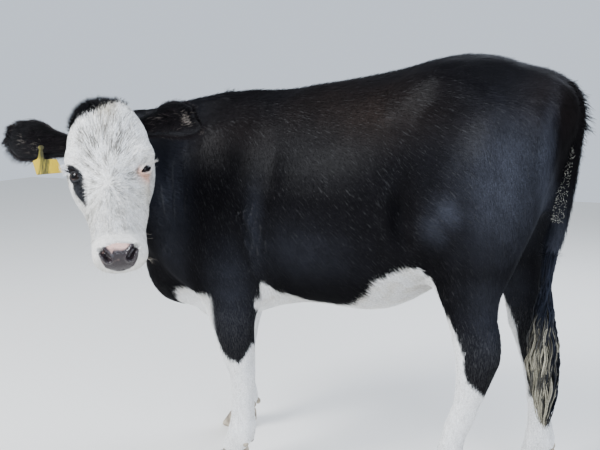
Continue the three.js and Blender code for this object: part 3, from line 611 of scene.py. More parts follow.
def smoothTable(at, column):  # a cubic through the ear's stations
    xs, ys = earStations[:, 0], earStations[:, column]
    slopes = np.gradient(ys, xs)
    i = np.clip(np.searchsorted(xs, at) - 1, 0, len(xs) - 2)
    h = xs[i + 1] - xs[i]
    t = (at - xs[i]) / h
    return ((1 + 2 * t) * (1 - t) ** 2 * ys[i] + t * (1 - t) ** 2 * h * slopes[i]
            + t * t * (3 - 2 * t) * ys[i + 1] + t * t * (t - 1) * h * slopes[i + 1])


def earPoint(shape, t, v, lift):  # the leaf's point in the head's frame: t along, v across from -1 to 1
    run, face, wide = earFrame(shape)
    t, v, lift = np.broadcast_arrays(np.asarray(t, float), np.asarray(v, float), np.asarray(lift, float))
    half = smoothTable(np.clip(t, 0, 1), 1) * earSizes["reach"]
    cup = smoothTable(np.clip(t, 0, 1), 2)
    bow = cup * (v ** 2 - 0.5) + lift
    out = np.array(shape["root"], float) + run * (shape["length"] * t)[..., None]
    drop = np.interp(t, earStations[:, 0], shape["drop"])
    down = wide * np.sign(wide[0])
    return out + wide * (v * half)[..., None] + down * drop[..., None] + face * bow[..., None]


def makeEar(name, shape):
    rows, across = earSizes["rows"], earSizes["across"]
    clearSelection()
    bpy.ops.mesh.primitive_grid_add(x_subdivisions=across - 1, y_subdivisions=rows - 1, size=2)
    piece = bpy.context.active_object
    piece.name = name
    co = np.array([v.co[:] for v in piece.data.vertices])
    v, t = co[:, 0], (co[:, 1] + 1) / 2
    t = t * shape["ends"]
    ripple = 1.2 * np.sin(9 * t + 5 * v) * ramp(0.1, 0.4, t) * np.abs(v)
    placePoints(piece, fromHead(earPoint(shape, t, v, ripple)))
    addModifier(piece, "SOLIDIFY", thickness=earSizes["wall"] / 1000, offset=0)
    faceOutwards(piece)
    return piece


earPieces = [makeEar(f"ear_skin_{side}", shape) for side, shape in ears.items()]
skinOnly = len(skin.data.vertices)
joinInto(skin, earPieces)
skin.data.shade_smooth()
editAll(skin, bpy.ops.uv.smart_project, angle_limit=1.15, island_margin=0.002)
skinUvs = readAll(skin.data.uv_layers.active.data, "uv", 2)
skinPoints = pointsOf(skin)
skinNormals = normalsOf(skin)
earPoints = np.arange(len(skinPoints)) >= skinOnly
print("skin:", len(skinPoints), "points,", sum(len(f.vertices) - 2 for f in skin.data.polygons), "triangles")


def skinTriangles():
    skin.data.calc_loop_triangles()
    found = skin.data.loop_triangles
    return readAll(found, "vertices", 3, np.int32), readAll(found, "loops", 3, np.int32)


corners, cornerLoops = skinTriangles()
trianglePoints = skinPoints[corners]
triangleArea = np.linalg.norm(np.cross(
    trianglePoints[:, 1] - trianglePoints[:, 0], trianglePoints[:, 2] - trianglePoints[:, 0]), axis=1) / 2
triangleMiddle = trianglePoints.mean(1)
isEar = corners.min(1) >= skinOnly
skinTree = treeOf(skinPoints, corners)


def eyeGap(points):  # how far outside the nearer eye's slit, negative inside it, and the way out from it
    q = toHead(points)
    gap = np.full(len(points), 1e3)
    away = np.zeros_like(q)
    for side in (-1, 1):
        centre, along, up, out = eyeFrame(side)
        d = q - centre
        near = (d @ out > 0) & (np.linalg.norm(d, axis=1) < 50)
        gap[near] = slitHeight((d @ along)[near], (d @ up)[near], side)
        away[near] = unit(0.5 * along * (d @ along)[near, None] + up * (d @ up)[near, None] + 0.01)
    return gap, away @ headFrame


def wetness(points):  # the bare nose pad and the nostrils, 0 to 1
    q = toHead(points)
    a, l, n = q.T
    aside = np.abs(l - muzzle["middle"])
    ragged = 1.6 * swirl(points, 6, 4)
    top = np.interp(aside, (0, 24, 40, 46, 48), (381, 384, 388, 398, 404))
    low = np.interp(aside, (0, 22, 32, 40, 46), (-64, -62, -52, -36, -24))
    edges = ramp(-2, 2, a - top + ragged) * ramp(-2, 2, n - low + ragged)
    return edges * ramp(49, 45, aside) * onHead(points)


noseTones = {"dark": "#2a2326", "rose": "#cfa89c", "grey": "#4c4345"}


def skinColour():  # painted shade: darker than the hair, for the shade under it; and the nose pink above, mottled dark below
    colour = coatColour(skinPoints, np.full(len(skinPoints), 0.3),
                        np.where(earPoints, 0, whiteness(skinPoints)))
    # painted shade under the hair, a little less on the legs
    colour = colour * (0.86 + 0.08 * onLeg(skinPoints)[:, None])
    q = toHead(skinPoints)
    a, l = q[:, 0], q[:, 1]
    pink = ramp(401, 391, a + 5 * swirl(skinPoints, 5, 8)) * ramp(30, 18, np.abs(l - muzzle["middle"]))
    mottle = ramp(0.15, 0.5, swirl(skinPoints, 4.5, 9)) * ramp(424, 396, a) * 0.55
    mirrored = q * (1, 0, 1) + np.abs(q - (0, muzzle["middle"], 0)) * (0, 1, 0)
    nostril = closestOn(nostrilLine, mirrored)[0]
    pink = np.maximum(pink, mottle)[:, None] * ramp(12, 17, nostril)[:, None]
    dark, rose, grey = (linear(noseTones[name]) for name in ("dark", "rose", "grey"))
    nose = between(between(dark, grey, 0.5 * pink), rose, pink)
    return between(colour, nose, wetness(skinPoints)[:, None])


def rootsOn(chosen, density):  # places on the chosen triangles, with the density per square centimetre
    wanted = triangleArea[chosen] * density / 100
    count = np.floor(wanted + chance.random(len(chosen))).astype(int)
    which = np.repeat(chosen, count)
    r = np.sqrt(chance.random(len(which)))
    s = chance.random(len(which))
    shares = np.stack([1 - r, r * (1 - s), r * s], 1)[:, :, None]
    where = (skinPoints[corners[which]] * shares).sum(1)
    normals = unit((skinNormals[corners[which]] * shares).sum(1))
    return where, normals, (skinUvs[cornerLoops[which]] * shares).sum(1)


whorl = np.array((227, -11, 0), float)


def layOfCoat(p):  # the way the hair lies, before it is turned along the skin
    x, y, z = p.T
    count = len(p)
    q = toHead(p)
    side = np.clip(np.abs(y) / 140, 0, 1)
    low = ramp(760, 480, z)
    back = np.stack([np.ones(count), 0.10 * np.sign(y) * (1 - side),
                     -0.15 - 0.75 * side * ramp(1180, 900, z)], 1)
    thigh = ramp(330, 430, x) * ramp(1100, 980, z)
    shoulder = ramp(-170, -260, x) * ramp(1080, 950, z)
    foreLeg, hindLeg = low * (np.abs(x + 300) < 120), low * (x > 250)
    down = np.maximum.reduce([foreLeg, hindLeg, 0.8 * thigh, 0.6 * shoulder])[:, None]
    flow = between(back, np.array((0.12, 0, -1)), down)
    alongNeck = np.array((0.55, 0.55, -0.35)) * ramp(-60, -260, y)[:, None]
    alongNeck = alongNeck + np.array((0.75, 0.1, -0.65)) * ramp(-260, -60, y)[:, None]
    flow = between(flow, alongNeck, ramp(-380, -470, x)[:, None])
    flow = between(flow, np.array((0, 0, -1.0)), onTail(p)[:, None])
    d = q - whorl
    sides = ramp(30, 90, np.abs(q[:, 1]))
    fan = np.stack([d[:, 0], d[:, 1] * 1.2, -0.5 * np.abs(d[:, 1]) - 60 * sides], 1)
    fan[:, 0] -= 40 * sides * (q[:, 0] < 250)
    twist = 0.35 * np.exp(-(d[:, :2] ** 2).sum(1) / 40 ** 2)[:, None]
    fan = unit(fan) + twist * np.stack([-d[:, 1], d[:, 0], 0 * d[:, 0]], 1) / 30
    head = onHead(p)[:, None]
    flow = between(unit(flow), unit(fan) @ headFrame, head)
    return unit(flow + 0.22 * (1 - 0.4 * head) * swirls(p, 45, 11))


tuftSizes = {  # length, width and the height of the tip, in millimetres, and hairs to the square centimetre
    "body": (22, 2.5, 3.4, 10.1),
    "top": (28, 2.5, 7.5, 11.5),
    "belly": (30, 2.8, 6.0, 9.0),
    "neck": (26, 2.6, 4.4, 9.2),
    "leg": (13, 2.0, 2.0, 9.1),
    "face": (12, 1.5, 1.8, 22.0),
    "forehead": (36, 2.3, 3.0, 12.0),
    "muzzle": (5, 0.9, 0.7, 30.0),
    "rear": (38, 2.3, 8.0, 13.0),
    "tail": (36, 2.2, 9.0, 18.0),
    "ear": (17, 1.6, 4.2, 17.0),
}


def coatSizes(p, ear):
    x, y, z = p.T
    out = np.tile(np.array(tuftSizes["body"], float), (len(p), 1))

    def blend(name, amount):
        nonlocal out
        out = between(out, np.array(tuftSizes[name], float), amount[:, None])

    if ear:
        blend("ear", np.ones(len(p)))
        return out
    a, l, n = toHead(p).T
    blend("neck", ramp(-380, -470, x))
    blend("top", ramp(1060, 1150, z) * ramp(60, 30, np.abs(y)))
    blend("belly", ramp(620, 580, z) * ramp(150, 90, np.abs(y)) * ramp(-330, -240, x) * ramp(330, 280, x))
    blend("leg", onLeg(p))
    blend("rear", behindRump(p))
    blend("tail", onTail(p))
    head = onHead(p)
    blend("face", head)
    blend("forehead", head * ramp(190, 140, a) * ramp(75, 55, np.abs(l)) * ramp(-70, -40, n))
    blend("muzzle", head * ramp(330, 362, a))
    return out


def softenShading(piece, normals, share):  # leans the shading of thin hair towards the surface it lies on
    mixed = unit(between(normalsOf(piece), normals, share))
    piece.data.normals_split_custom_set_from_vertices(mixed.tolist())


mapPatch = 0.0015  # how wide a hair is on the skin's own map


def makeHair(name, points, faces, uvs, spots, colours):  # the same few faces for each hair's own points
    count, per = points.shape[:2]
    index = (np.array(faces)[None] + per * np.arange(count)[:, None, None]).reshape(-1, 3)
    mesh = bpy.data.meshes.new(name)
    mesh.vertices.add(count * per)
    mesh.loops.add(index.size)
    mesh.polygons.add(len(index))
    mesh.vertices.foreach_set("co", toScene(points.reshape(-1, 3)).astype(np.float32).ravel())
    mesh.polygons.foreach_set("loop_start", np.arange(0, index.size, 3, dtype=np.int32))
    mesh.loops.foreach_set("vertex_index", index.astype(np.int32).ravel())
    mesh.update(calc_edges=True)
    mesh.shade_smooth()
    piece = bpy.data.objects.new(name, mesh)
    bpy.context.collection.objects.link(piece)
    flat = (uvs[:, None, :] + mapPatch * spots[None]).reshape(-1, 2)[index.ravel()]
    mesh.uv_layers.new(name="OFBake").data.foreach_set("uv", flat.astype(np.float32).ravel())
    setColour(piece, "coatColour", colours.reshape(-1, 3))
    print(f"{name}: {count} hairs, {len(index)} triangles")
    return piece


def growTufts(name, roots, normals, uvs, flow, sizes, colour, bend, parts, soft):
    # each tuft is a flat spike with its foot in the skin, and its tip keeps its height over the skin
    along = unit(flow - normals * (flow * normals).sum(1)[:, None])
    across = np.cross(normals, along)
    length, width, lift = sizes.T[:3]
    tip = roots + along * length[:, None]
    height = np.empty(len(roots))
    for i, v in enumerate(tip):
        spot, normal = skinTree.find_nearest(v)[:2]
        height[i] = (Vector(v) - spot).dot(normal)
    rise = (lift - height)[:, None]
    rings = []
    for s in np.linspace(0, 1, parts + 1)[:-1]:
        centre = roots + along * (length * s)[:, None] + normals * (rise * (s ** 1.6))
        centre = centre + across * (bend * length * np.sin(math.pi * s))[:, None] - normals * 0.8 * (s == 0)
        wide = across * (width * (1 - s ** 1.5) / 2)[:, None]
        thick = normals * (width * 0.42 * (1 - s))[:, None]
        rings += [centre - wide, centre + wide, centre + thick]
    points = np.stack(rings + [tip + normals * rise], 1)
    faces = []
    for b in range(0, 3 * (parts - 1), 3):
        faces += [(b, b + 2, b + 5), (b, b + 5, b + 3), (b + 2, b + 1, b + 4), (b + 2, b + 4, b + 5),
                  (b + 1, b, b + 3), (b + 1, b + 3, b + 4)]
    b = 3 * (parts - 1)
    faces += [(b, b + 2, b + 3), (b + 2, b + 1, b + 3), (b + 1, b, b + 3)]
    spots = np.array([(-1, -1), (1, -1), (0, 0.6)] * parts + [(0, 1)])
    # painted shade and light: each tuft darker at its foot and lighter at its tip
    shade = np.linspace(0.8, 1.1, parts + 1)
    shade = np.concatenate([np.repeat(shade[:-1], 3), shade[-1:]])
    colours = colour[:, None, :] * shade[None, :, None]
    piece = makeHair(name, points, np.array(faces)[:, ::-1], uvs, spots, colours)
    softenShading(piece, np.repeat(normals, points.shape[1], 0), soft)
    return piece


def hashed(a, b):  # the same two whole numbers always give the same value from 0 to 1
    v = np.sin(a * 127.1 + b * 311.7) * 43758.5453
    return v - np.floor(v)


def locksOf(roots):  # locks that fan out from the whorl: each lock's tone and its pull sideways
    q = toHead(roots)
    d = q - whorl
    reach = np.hypot(d[:, 0], d[:, 1])
    turn = np.arctan2(d[:, 1], -d[:, 0]) + 0.05 * swirl(roots, 16, 6) + 0.03 * swirl(roots, 7, 3)
    slot = turn * (7 + 6 * np.floor(reach / 50 + 0.3))
    number = np.floor(slot)
    step = np.floor(reach / 32 + 3 * hashed(number, 7))
    return hashed(number, step), (slot - number - 0.5)


# how dark the painted shade between the head's locks is
lockShade = 0.68


def coverWithTufts(name, chosen, ear=False, most=66000, parts=1, bend=0.0, soft=0.94):
    chosen = np.flatnonzero(chosen)
    density = coatSizes(triangleMiddle[chosen], ear)[:, 3]
    roots, normals, uvs = rootsOn(chosen, density)
    bare = np.maximum(wetness(roots), ramp(3.2, 1.8, eyeGap(roots)[0]))
    keep = np.flatnonzero(chance.random(len(roots)) > bare)
    if len(keep) > most:
        print(f"{name}: {len(keep)} wanted, {most} kept")
        keep = keep[np.sort(chance.permutation(len(keep))[:most])]
    roots, normals, uvs = roots[keep], normals[keep], uvs[keep]
    sizes = coatSizes(roots, ear)
    spread = chance.random((len(roots), 3))
    sizes[:, :3] *= (0.65, 0.7, 0.4) + np.array((0.7, 0.6, 1.2)) * spread
    gap, away = eyeGap(roots)
    sizes[:, 0] *= 0.3 + 0.7 * ramp(0, 24, gap)
    flow = layOfCoat(roots) + 1.8 * np.exp(-(np.maximum(gap, 0) / 11) ** 2)[:, None] * away
    if ear:
        left = toHead(roots)[:, 1] > 0
        for side, isLeft in (("left", True), ("right", False)):
            flow[left == isLeft] = earFrame(ears[side])[0] @ headFrame
        flow += 0.5 * unit(np.cross(normals, flow)) * (chance.random(len(roots)) - 0.5)[:, None]
    flow = flow + (0.12 - 0.07 * onHead(roots))[:, None] * chance.normal(size=flow.shape)
    tones = chance.random(len(roots))
    head = onHead(roots) > 0.5
    if ear:
        colour = coatColour(roots, tones, np.zeros(len(roots)))
    elif head.any():
        tone, pull = locksOf(roots)
        a, l = toHead(roots).T[:2]
        strength = (head * ramp(400, 350, a) * (1 - 0.5 * ramp(215, 290, a))
                    * (1 - 0.6 * ramp(55, 82, np.abs(l))))
        strength = strength[:, None]
        flow -= 0.55 * strength * pull[:, None] * unit(np.cross(normals, flow))
        tones = between(tones, tone, 0.75 * strength[:, 0])
        # painted shade: the darker locks stand in for the shadows between them
        colour = coatColour(roots, tones) * (1 - lockShade * strength * ramp(0.55, 0.05, tone)[:, None])
        colour *= 1 - 0.45 * head[:, None] * ramp(0.35, 0, chance.random(len(roots)))[:, None]
    else:
        colour = coatColour(roots, 0.6 * tones + 0.4 * ramp(-0.6, 0.6, swirl(roots, 12, 15)))
    return growTufts(name, roots, normals, uvs, flow, sizes, colour, bend, parts, soft)


headPart = onHead(triangleMiddle) > 0.5
legPart = (onLeg(triangleMiddle) > 0.5) & ~headPart
tailPart = (onTail(triangleMiddle) > 0.5) & ~headPart
bodyPart = ~(isEar | headPart | legPart | tailPart)
middleX, middleY = triangleMiddle.T[:2]
middleInHead = toHead(triangleMiddle)
stretches = [("neck", -math.inf, -380, -150), ("shoulder", -380, -60, 0), ("ribs", -60, 260, 0),
             ("rump", 260, math.inf, 0)]  # from x, to x, and the y that divides left from right
coat = []
for name, start, end, divide in stretches:
    for side, here in (("left", middleY < divide), ("right", middleY >= divide)):
        chosen = bodyPart & (middleX >= start) & (middleX < end) & here
        coat.append(coverWithTufts(f"coat_{name}_{side}", chosen))
coat += [
    coverWithTufts("coat_fore_legs", legPart & (middleX < 0)),
    coverWithTufts("coat_hind_legs", legPart & (middleX >= 0)),
    coverWithTufts("coat_face", headPart & ~isEar & (middleInHead[:, 0] > 190), soft=0.5),
    coverWithTufts("coat_forehead", headPart & ~isEar & (middleInHead[:, 0] <= 190), most=20200, parts=2,
                   bend=0.05, soft=0.35),
    coverWithTufts("coat_ears", isEar, ear=True, soft=0.3),
    coverWithTufts("coat_tail", tailPart),
]


def sweep(name, paths, radii, sides, uvs, colours):  # tapered strands, closed at their tips
    count, stops = radii.shape
    lean = unit(np.gradient(paths, axis=1))
    up = np.where(np.abs(lean[..., 2:3]) < 0.9, (0, 0, 1.0), (1.0, 0, 0))
    u = unit(np.cross(up, lean))
    v = np.cross(lean, u)
    angle = 2 * math.pi * np.arange(sides) / sides
    ring = (u[:, :, None] * np.cos(angle)[None, None, :, None]
            + v[:, :, None] * np.sin(angle)[None, None, :, None])
    body = paths[:, :-1, None] + ring[:, :-1] * radii[:, :-1, None, None]
    points = np.concatenate([body.reshape(count, -1, 3), paths[:, -1:]], 1)
    per = points.shape[1]
    faces = []
    for s in range(stops - 2):
        for i in range(sides):
            a, b = s * sides + i, s * sides + (i + 1) % sides
            faces += [(a, b, b + sides), (a, b + sides, a + sides)]
    last = (stops - 2) * sides
    faces += [(last + i, last + (i + 1) % sides, per - 1) for i in range(sides)]
    spots = np.linspace(-1, 1, per)[:, None] * (1, 0) + np.array([(0, (i % sides) - 1) for i in range(per)])
    colours = np.concatenate([np.repeat(colours[:, :-1], sides, 1), colours[:, -1:]], 1)
    return makeHair(name, points, faces, uvs, np.clip(spots, -1, 1), colours)


def strandPaths(roots, start, length, stops, curl, droop):  # curved paths from each root
    s = np.linspace(0, 1, stops)[None, :, None]
    aside = unit(np.cross(start, chance.normal(size=start.shape)))[:, None, :]
    wave = np.sin(s * math.pi * (1 + chance.random((len(roots), 1, 1)))) * curl
    path = roots[:, None, :] + start[:, None, :] * length[:, None, None] * s
    path = path + aside * wave * length[:, None, None]
    path[..., 2] -= (droop * length[:, None, None] * s * s)[..., 0]
    return path


def taper(paths, radius):  # thick at the root, fine at the tip
    count, stops = paths.shape[:2]
    narrowing = 1 - 0.9 * np.linspace(0, 1, stops) ** 1.5
    return np.asarray(radius).reshape(-1, 1) * narrowing * np.ones((count, 1))


fuzz = {"length": 30, "lean": 0.6, "density": 19, "radius": 0.7}


def makePollFuzz():
    a, l, n = middleInHead.T
    chosen = np.flatnonzero(headPart & ~isEar & (a < 34) & (a > -60) & (np.abs(l) < 92) & (n > -110))
    roots, normals, uvs = rootsOn(chosen, np.full(len(chosen), fuzz["density"]))
    q = toHead(roots)
    lush = ramp(60, -10, q[:, 0]) * (0.45 + 0.55 * ramp(40, -50, q[:, 1]))
    keep = (whiteness(roots) < 0.5) & (chance.random(len(roots)) < 0.25 + lush)
    roots, normals, uvs, q, lush = roots[keep], normals[keep], uvs[keep], q[keep], lush[keep]
    away = np.stack([-np.ones(len(q)) * 0.7, -0.35 + 0.008 * q[:, 1], -0.1 * np.ones(len(q))], 1) @ headFrame
    start = unit(normals * fuzz["lean"] + away + 0.5 * swirls(roots, 7, 31)
                 + 0.16 * chance.normal(size=roots.shape))
    length = fuzz["length"] * (0.35 + 0.75 * lush) * (0.6 + 0.6 * chance.random(len(roots)))
    paths = strandPaths(roots - normals * 2, start, length, 5, 0.10, 0.12)
    colour = coatColour(roots, chance.random(len(roots)) * 0.9)
    # painted shade and light: each strand darker at its root and lighter at its tip
    shades = colour[:, None, :] * np.linspace(0.7, 1.3, 5)[None, :, None]
    return sweep("coat_poll", paths, taper(paths, fuzz["radius"]), 3, uvs, shades)


earHair = {"rim": 24, "inner": 26, "radius": 0.5, "rimCount": 1400, "innerCount": 600,
           "colours": ("#1e1a1c", "#b3a89c"),  # dark, light; then wisps as ear, along, across, count, spread
           "pale": [("left", 0.77, 0.0, 110, 0.06), ("right", 0.80, 0.0, 14, 0.06),
                    ("right", 0.62, 0.3, 16, 0.07)]}


def nearestUv(points):
    found = np.array([skinTree.find_nearest(v)[2] for v in points])
    return skinUvs[cornerLoops[found]].mean(1)


def makeEarHair():
    roots, starts, lengths, tones = [], [], [], []
    for side, shape in ears.items():
        run, face, wide = earFrame(shape)
        count = earHair["rimCount"]
        t = 0.10 + 0.90 * chance.random(count) ** 0.8
        edge = np.where(chance.random(count) < 0.5, -1.0, 1.0) * (0.9 + 0.1 * chance.random(count))
        atTip = chance.random(count) < 0.22
        t = np.where(atTip, 0.93 + 0.04 * chance.random(count), t)
        edge = np.where(atTip, 2 * chance.random(count) - 1, edge)
        outwards = wide * (0.75 * edge * (1 - 0.7 * atTip))[:, None]
        roots.append(earPoint(shape, t * 1.02 * shape["ends"], edge, 1.0))
        starts.append(unit(run * 1.0 + outwards + 0.22 * chance.normal(size=(count, 3))))
        lengths.append(earHair["rim"] * (0.4 + 0.6 * chance.random(count)))
        tones.append(np.where(chance.random(count) < 0.05, 1.25, 0.5 * chance.random(count)))
        count = earHair["innerCount"]
        t, v = 0.12 + 0.6 * chance.random(count), 1.5 * chance.random(count) - 0.75
        inwards = wide * (0.4 * v)[:, None]
        roots.append(earPoint(shape, t, v, 2.0))
        starts.append(unit(run * 0.8 + face * 0.55 - inwards + 0.25 * chance.normal(size=(count, 3))))
        lengths.append(earHair["inner"] * (0.5 + 0.7 * chance.random(count)))
        tones.append(np.where(chance.random(count) < 0.03, 1.3, 0.8))
    for side, at, aside, count, spread in earHair["pale"]:
        run, face = earFrame(ears[side])[:2]
        t = at + 0.5 * spread * chance.normal(size=count)
        v = aside + 2.6 * spread * chance.normal(size=count)
        roots.append(earPoint(ears[side], t, v, 2.0))
        starts.append(unit(run * 0.6 + face * 0.6
                           + (0.15 + 4 * spread) * 0.5 * chance.normal(size=(count, 3))))
        lengths.append(earHair["inner"] * (0.3 + 0.4 * chance.random(count)))
        tones.append(1.3 + 0.8 * chance.random(count))
    roots, starts = fromHead(np.concatenate(roots)), np.concatenate(starts) @ headFrame
    lengths, tones = np.concatenate(lengths), np.concatenate(tones)[:, None]
    dark, light = (linear(code) for code in earHair["colours"])
    colour = dark * (2 - tones).clip(0.4, 1) + light * (tones - 1).clip(0, 1) * 0.8
    paths = strandPaths(roots, starts, lengths, 5, 0.10, 0.25)
    shades = np.repeat(colour[:, None, :], 5, 1)
    return sweep("coat_ear_hair", paths, taper(paths, earHair["radius"]), 3, nearestUv(roots), shades)


lashes = {"upper": 80, "lower": 16, "length": 27, "radius": 0.28, "colours": {1: "#e9e4dc", -1: "#1b1718"}}
brow = {"from": (148, -96, -34), "to": (173, -93, -38), "count": 120, "length": 22, "radius": 0.45,
        "colour": "#f8f8f8"}


def makeLashes():
    paths, shades = [], []
    s = np.linspace(0, 1, 6)[None, :, None]
    for side in (-1, 1):
        centre, along, up, out = eyeFrame(side)
        high, low = eyeSet[side]["open"]
        for count, rise, long in ((lashes["upper"], high, 1.0), (lashes["lower"], -low, 0.5)):
            u = 0.95 - 1.9 * chance.random(count) ** 0.6
            v = rise * (1 - np.abs(u) ** 2.2) + 0.8 * np.sign(rise)
            flat = along * (u * lids["halfLength"])[:, None] + up * v[:, None]
            deep = np.sqrt((eyeBall + 2.6) ** 2 - (flat ** 2).sum(1))
            root = centre + flat + out * deep[:, None]
            sign = np.sign(rise)
            outer = ramp(-0.45, -0.8, u)[:, None]  # long and swept outwards at the outer corner only
            start = unit((0.35 + 0.5 * (1 - outer)) * out + up * sign * (0.8 - 0.6 * outer)
                         - along * 1.1 * outer + np.array((0.25, 0, 0)) * outer
                         + 0.07 * chance.normal(size=root.shape))
            length = lashes["length"] * long * (0.3 + 0.75 * outer[:, 0]) * (0.8 + 0.4 * chance.random(count))
            path = root[:, None] + start[:, None] * length[:, None, None] * s
            path = path + up * (0.10 * sign * length[:, None, None] * s * (1 - s))
            paths.append(fromHead(path))
            tone = linear(lashes["colours"][side]) * (0.7 + 0.5 * chance.random((count, 1, 1)))
            shades.append(tone * np.ones((1, 6, 1)))
    count = brow["count"]  # white hair standing out from the corner of her right brow
    u = chance.random(count)
    root = layOn(skinTree, between(np.array(brow["from"]), np.array(brow["to"]), u[:, None]))
    start = unit(np.stack([0.12 + 0.25 * u, -np.ones(count), -0.12 * u], 1)
                 + 0.08 * chance.normal(size=root.shape))
    length = brow["length"] * (0.4 + 0.6 * chance.random(count))
    paths.append(fromHead(root[:, None] + start[:, None] * length[:, None, None] * s))
    shades.append(linear(brow["colour"]) * (0.75 + 0.25 * chance.random((count, 1, 1))) * np.ones((1, 6, 1)))
    paths, shades = np.concatenate(paths), np.concatenate(shades)
    radius = np.full(len(paths), lashes["radius"])
    radius[-count:] = brow["radius"]
    return sweep("lashes", paths, taper(paths, radius), 3, np.full((len(paths), 2), 0.5), shades)


whiskers = {"count": 44, "length": 24, "radius": 0.18, "colour": "#cfc4b4"}


def makeWhiskers():
    a, n = middleInHead[:, 0], middleInHead[:, 2]
    chosen = np.flatnonzero(headPart & ~isEar & (a > 330) & (n < -40) & (wetness(triangleMiddle) < 0.3))
    pick = chance.choice(chosen, whiskers["count"])
    roots = triangleMiddle[pick]
    normals = unit(skinNormals[corners[pick]].mean(1))
    start = unit(normals + 0.25 * headAxis + 0.2 * chance.normal(size=roots.shape))
    length = whiskers["length"] * (0.4 + 0.9 * chance.random(len(roots)))
    paths = strandPaths(roots - normals, start, length, 6, 0.06, 0.2)
    shades = linear(whiskers["colour"]) * (0.5 + 0.5 * chance.random((len(roots), 1, 1))) * np.ones((1, 6, 1))
    return sweep("whiskers", paths, taper(paths, whiskers["radius"]), 3, nearestUv(roots), shades)


switch = {  # its line as x, z and radius, and how many locks, their corners and width
    "line": [(556, 800, 19), (545, 745, 19), (536, 690, 18), (530, 640, 15), (527, 590, 15), (528, 530, 24),
             (529, 470, 36), (530, 400, 43), (535, 310, 34), (545, 196, 6)],
    "locks": 1020, "stops": 14, "lock": 2.4, "bunches": 2.2, "waves": 6.5, "waveDepths": (5.0, 4.0),
    "colours": ("#1b1e27", "#c4bda6", "#706c62"),
}


def makeSwitch():  # wavy locks: black from the tail's end, dirty fair ones lower down and towards the legs
    count, stops = switch["locks"], switch["stops"]
    begin = 0.84 * chance.random(count) ** 0.9
    end = np.minimum(begin + 0.28 + 0.22 * chance.random(count), 0.93 + 0.07 * chance.random(count))
    turned = 2 * math.pi * chance.random(count)
    share = np.sqrt(0.06 + 0.94 * chance.random(count))
    s = np.linspace(0, 1, stops)[None, :]
    t = begin[:, None] + (end - begin)[:, None] * s
    x, z, r = np.moveaxis(pointAlong(switch["line"], t), -1, 0)
    sector, layer = np.round(turned * switch["bunches"]), np.round(4 * share)
    bunch = sector * 1.7 + layer * 2.1
    turn = turned[:, None] + 0.5 * (chance.random((count, 1)) - 0.5) * s
    wave = 2 * math.pi * t * switch["waves"] + bunch[:, None] + 0.3 * chance.random((count, 1))
    loose = ramp(0.25, 0.6, t) * (0.6 + 0.6 * chance.random((count, 1)))
    r = r * share[:, None] * (0.80 + 0.20 * ramp(0, 0.25, s))
    alongDepth, acrossDepth = switch["waveDepths"]
    paths = np.stack([x + r * np.cos(turn) + alongDepth * np.sin(wave) * loose,
                      r * np.sin(turn) + acrossDepth * np.cos(wave) * loose, z], -1)
    width = switch["lock"] * (0.5 + 0.9 * chance.random(count))
    radii = width[:, None] * (0.45 + 0.9 * s) * (1 - 0.97 * s ** 3)
    dark, fair, grey = (linear(code) for code in switch["colours"])
    dark = dark * (0.35 + 1.1 * chance.random((count, 1, 1)))
    lean = np.cos(turn) + 0.9 * (chance.random((count, 1)) - 0.5)
    pale = ramp(0.56, 0.76, t + 0.12 * (chance.random((count, 1)) - 0.5)) * ramp(0.85, 0.25, lean)
    pale = (pale * ((hashed(sector, layer) > 0.42) * 0.8 + 0.2)[:, None])[..., None]
    light = between(fair, grey, 0.7 * chance.random((count, 1, 1)))
    shades = dark * (1 - pale) + light * pale * (0.55 + 0.6 * chance.random((count, 1, 1)))
    uvs = np.stack([0.03 + 0.94 * (turned / (2 * math.pi)), 0.03 + 0.94 * begin.clip(0, 1)], 1)
    return sweep("switch_locks", paths, radii, 4, uvs, shades)


def castOnSkin(starts, way):
    return np.array([skinTree.ray_cast(Vector(v), Vector(way))[0] for v in starts])


def standingHair(name, roots, start, length, droop, radius):  # black strands that stand off the coat
    paths = strandPaths(roots, start, length, 6, 0.10, droop)
    shades = coatColour(roots, chance.random(len(roots)), np.zeros(len(roots)))[:, None] * np.ones((1, 6, 1))
    return sweep(name, paths, taper(paths, radius), 3, nearestUv(roots), shades)


wisps = {"count": 760, "length": 32, "radius": 0.85, "top": 1135, "run": 300, "wide": 56, "behind": 720}


def makeTailWisps():  # tufts that stand off the rump and the tail, down to the tail's middle
    count = wisps["count"]
    z = wisps["top"] - wisps["run"] * chance.random(count) ** 1.3
    y = wisps["wide"] * (chance.random(count) - 0.5)
    roots = castOnSkin(np.stack([np.full(count, wisps["behind"]), y, z], 1), (-1, 0, 0))
    start = np.stack([np.full(count, 0.9), 0.004 * y, 0.75 * ramp(1040, 1110, z) - 0.55], 1)
    start = start + 0.6 * swirls(roots, (8, 8, 11), 41)
    start = unit(start + 0.10 * chance.normal(size=(count, 3)))
    length = wisps["length"] * (0.3 + 0.8 * chance.random(count)) * (0.35 + 0.65 * ramp(900, 1030, z))
    length *= 0.45 + 0.75 * ramp(-0.4, 0.3, swirl(roots, 13, 44))
    return standingHair("tail_wisps", roots, start, length, 0.25, wisps["radius"])


ridge = {"count": 620, "length": 15, "radius": 0.7, "from": -400, "run": 930, "spread": 26, "above": 1400}
withersTuft = {"at": -409, "spread": (8, 6), "count": 46, "length": 30}


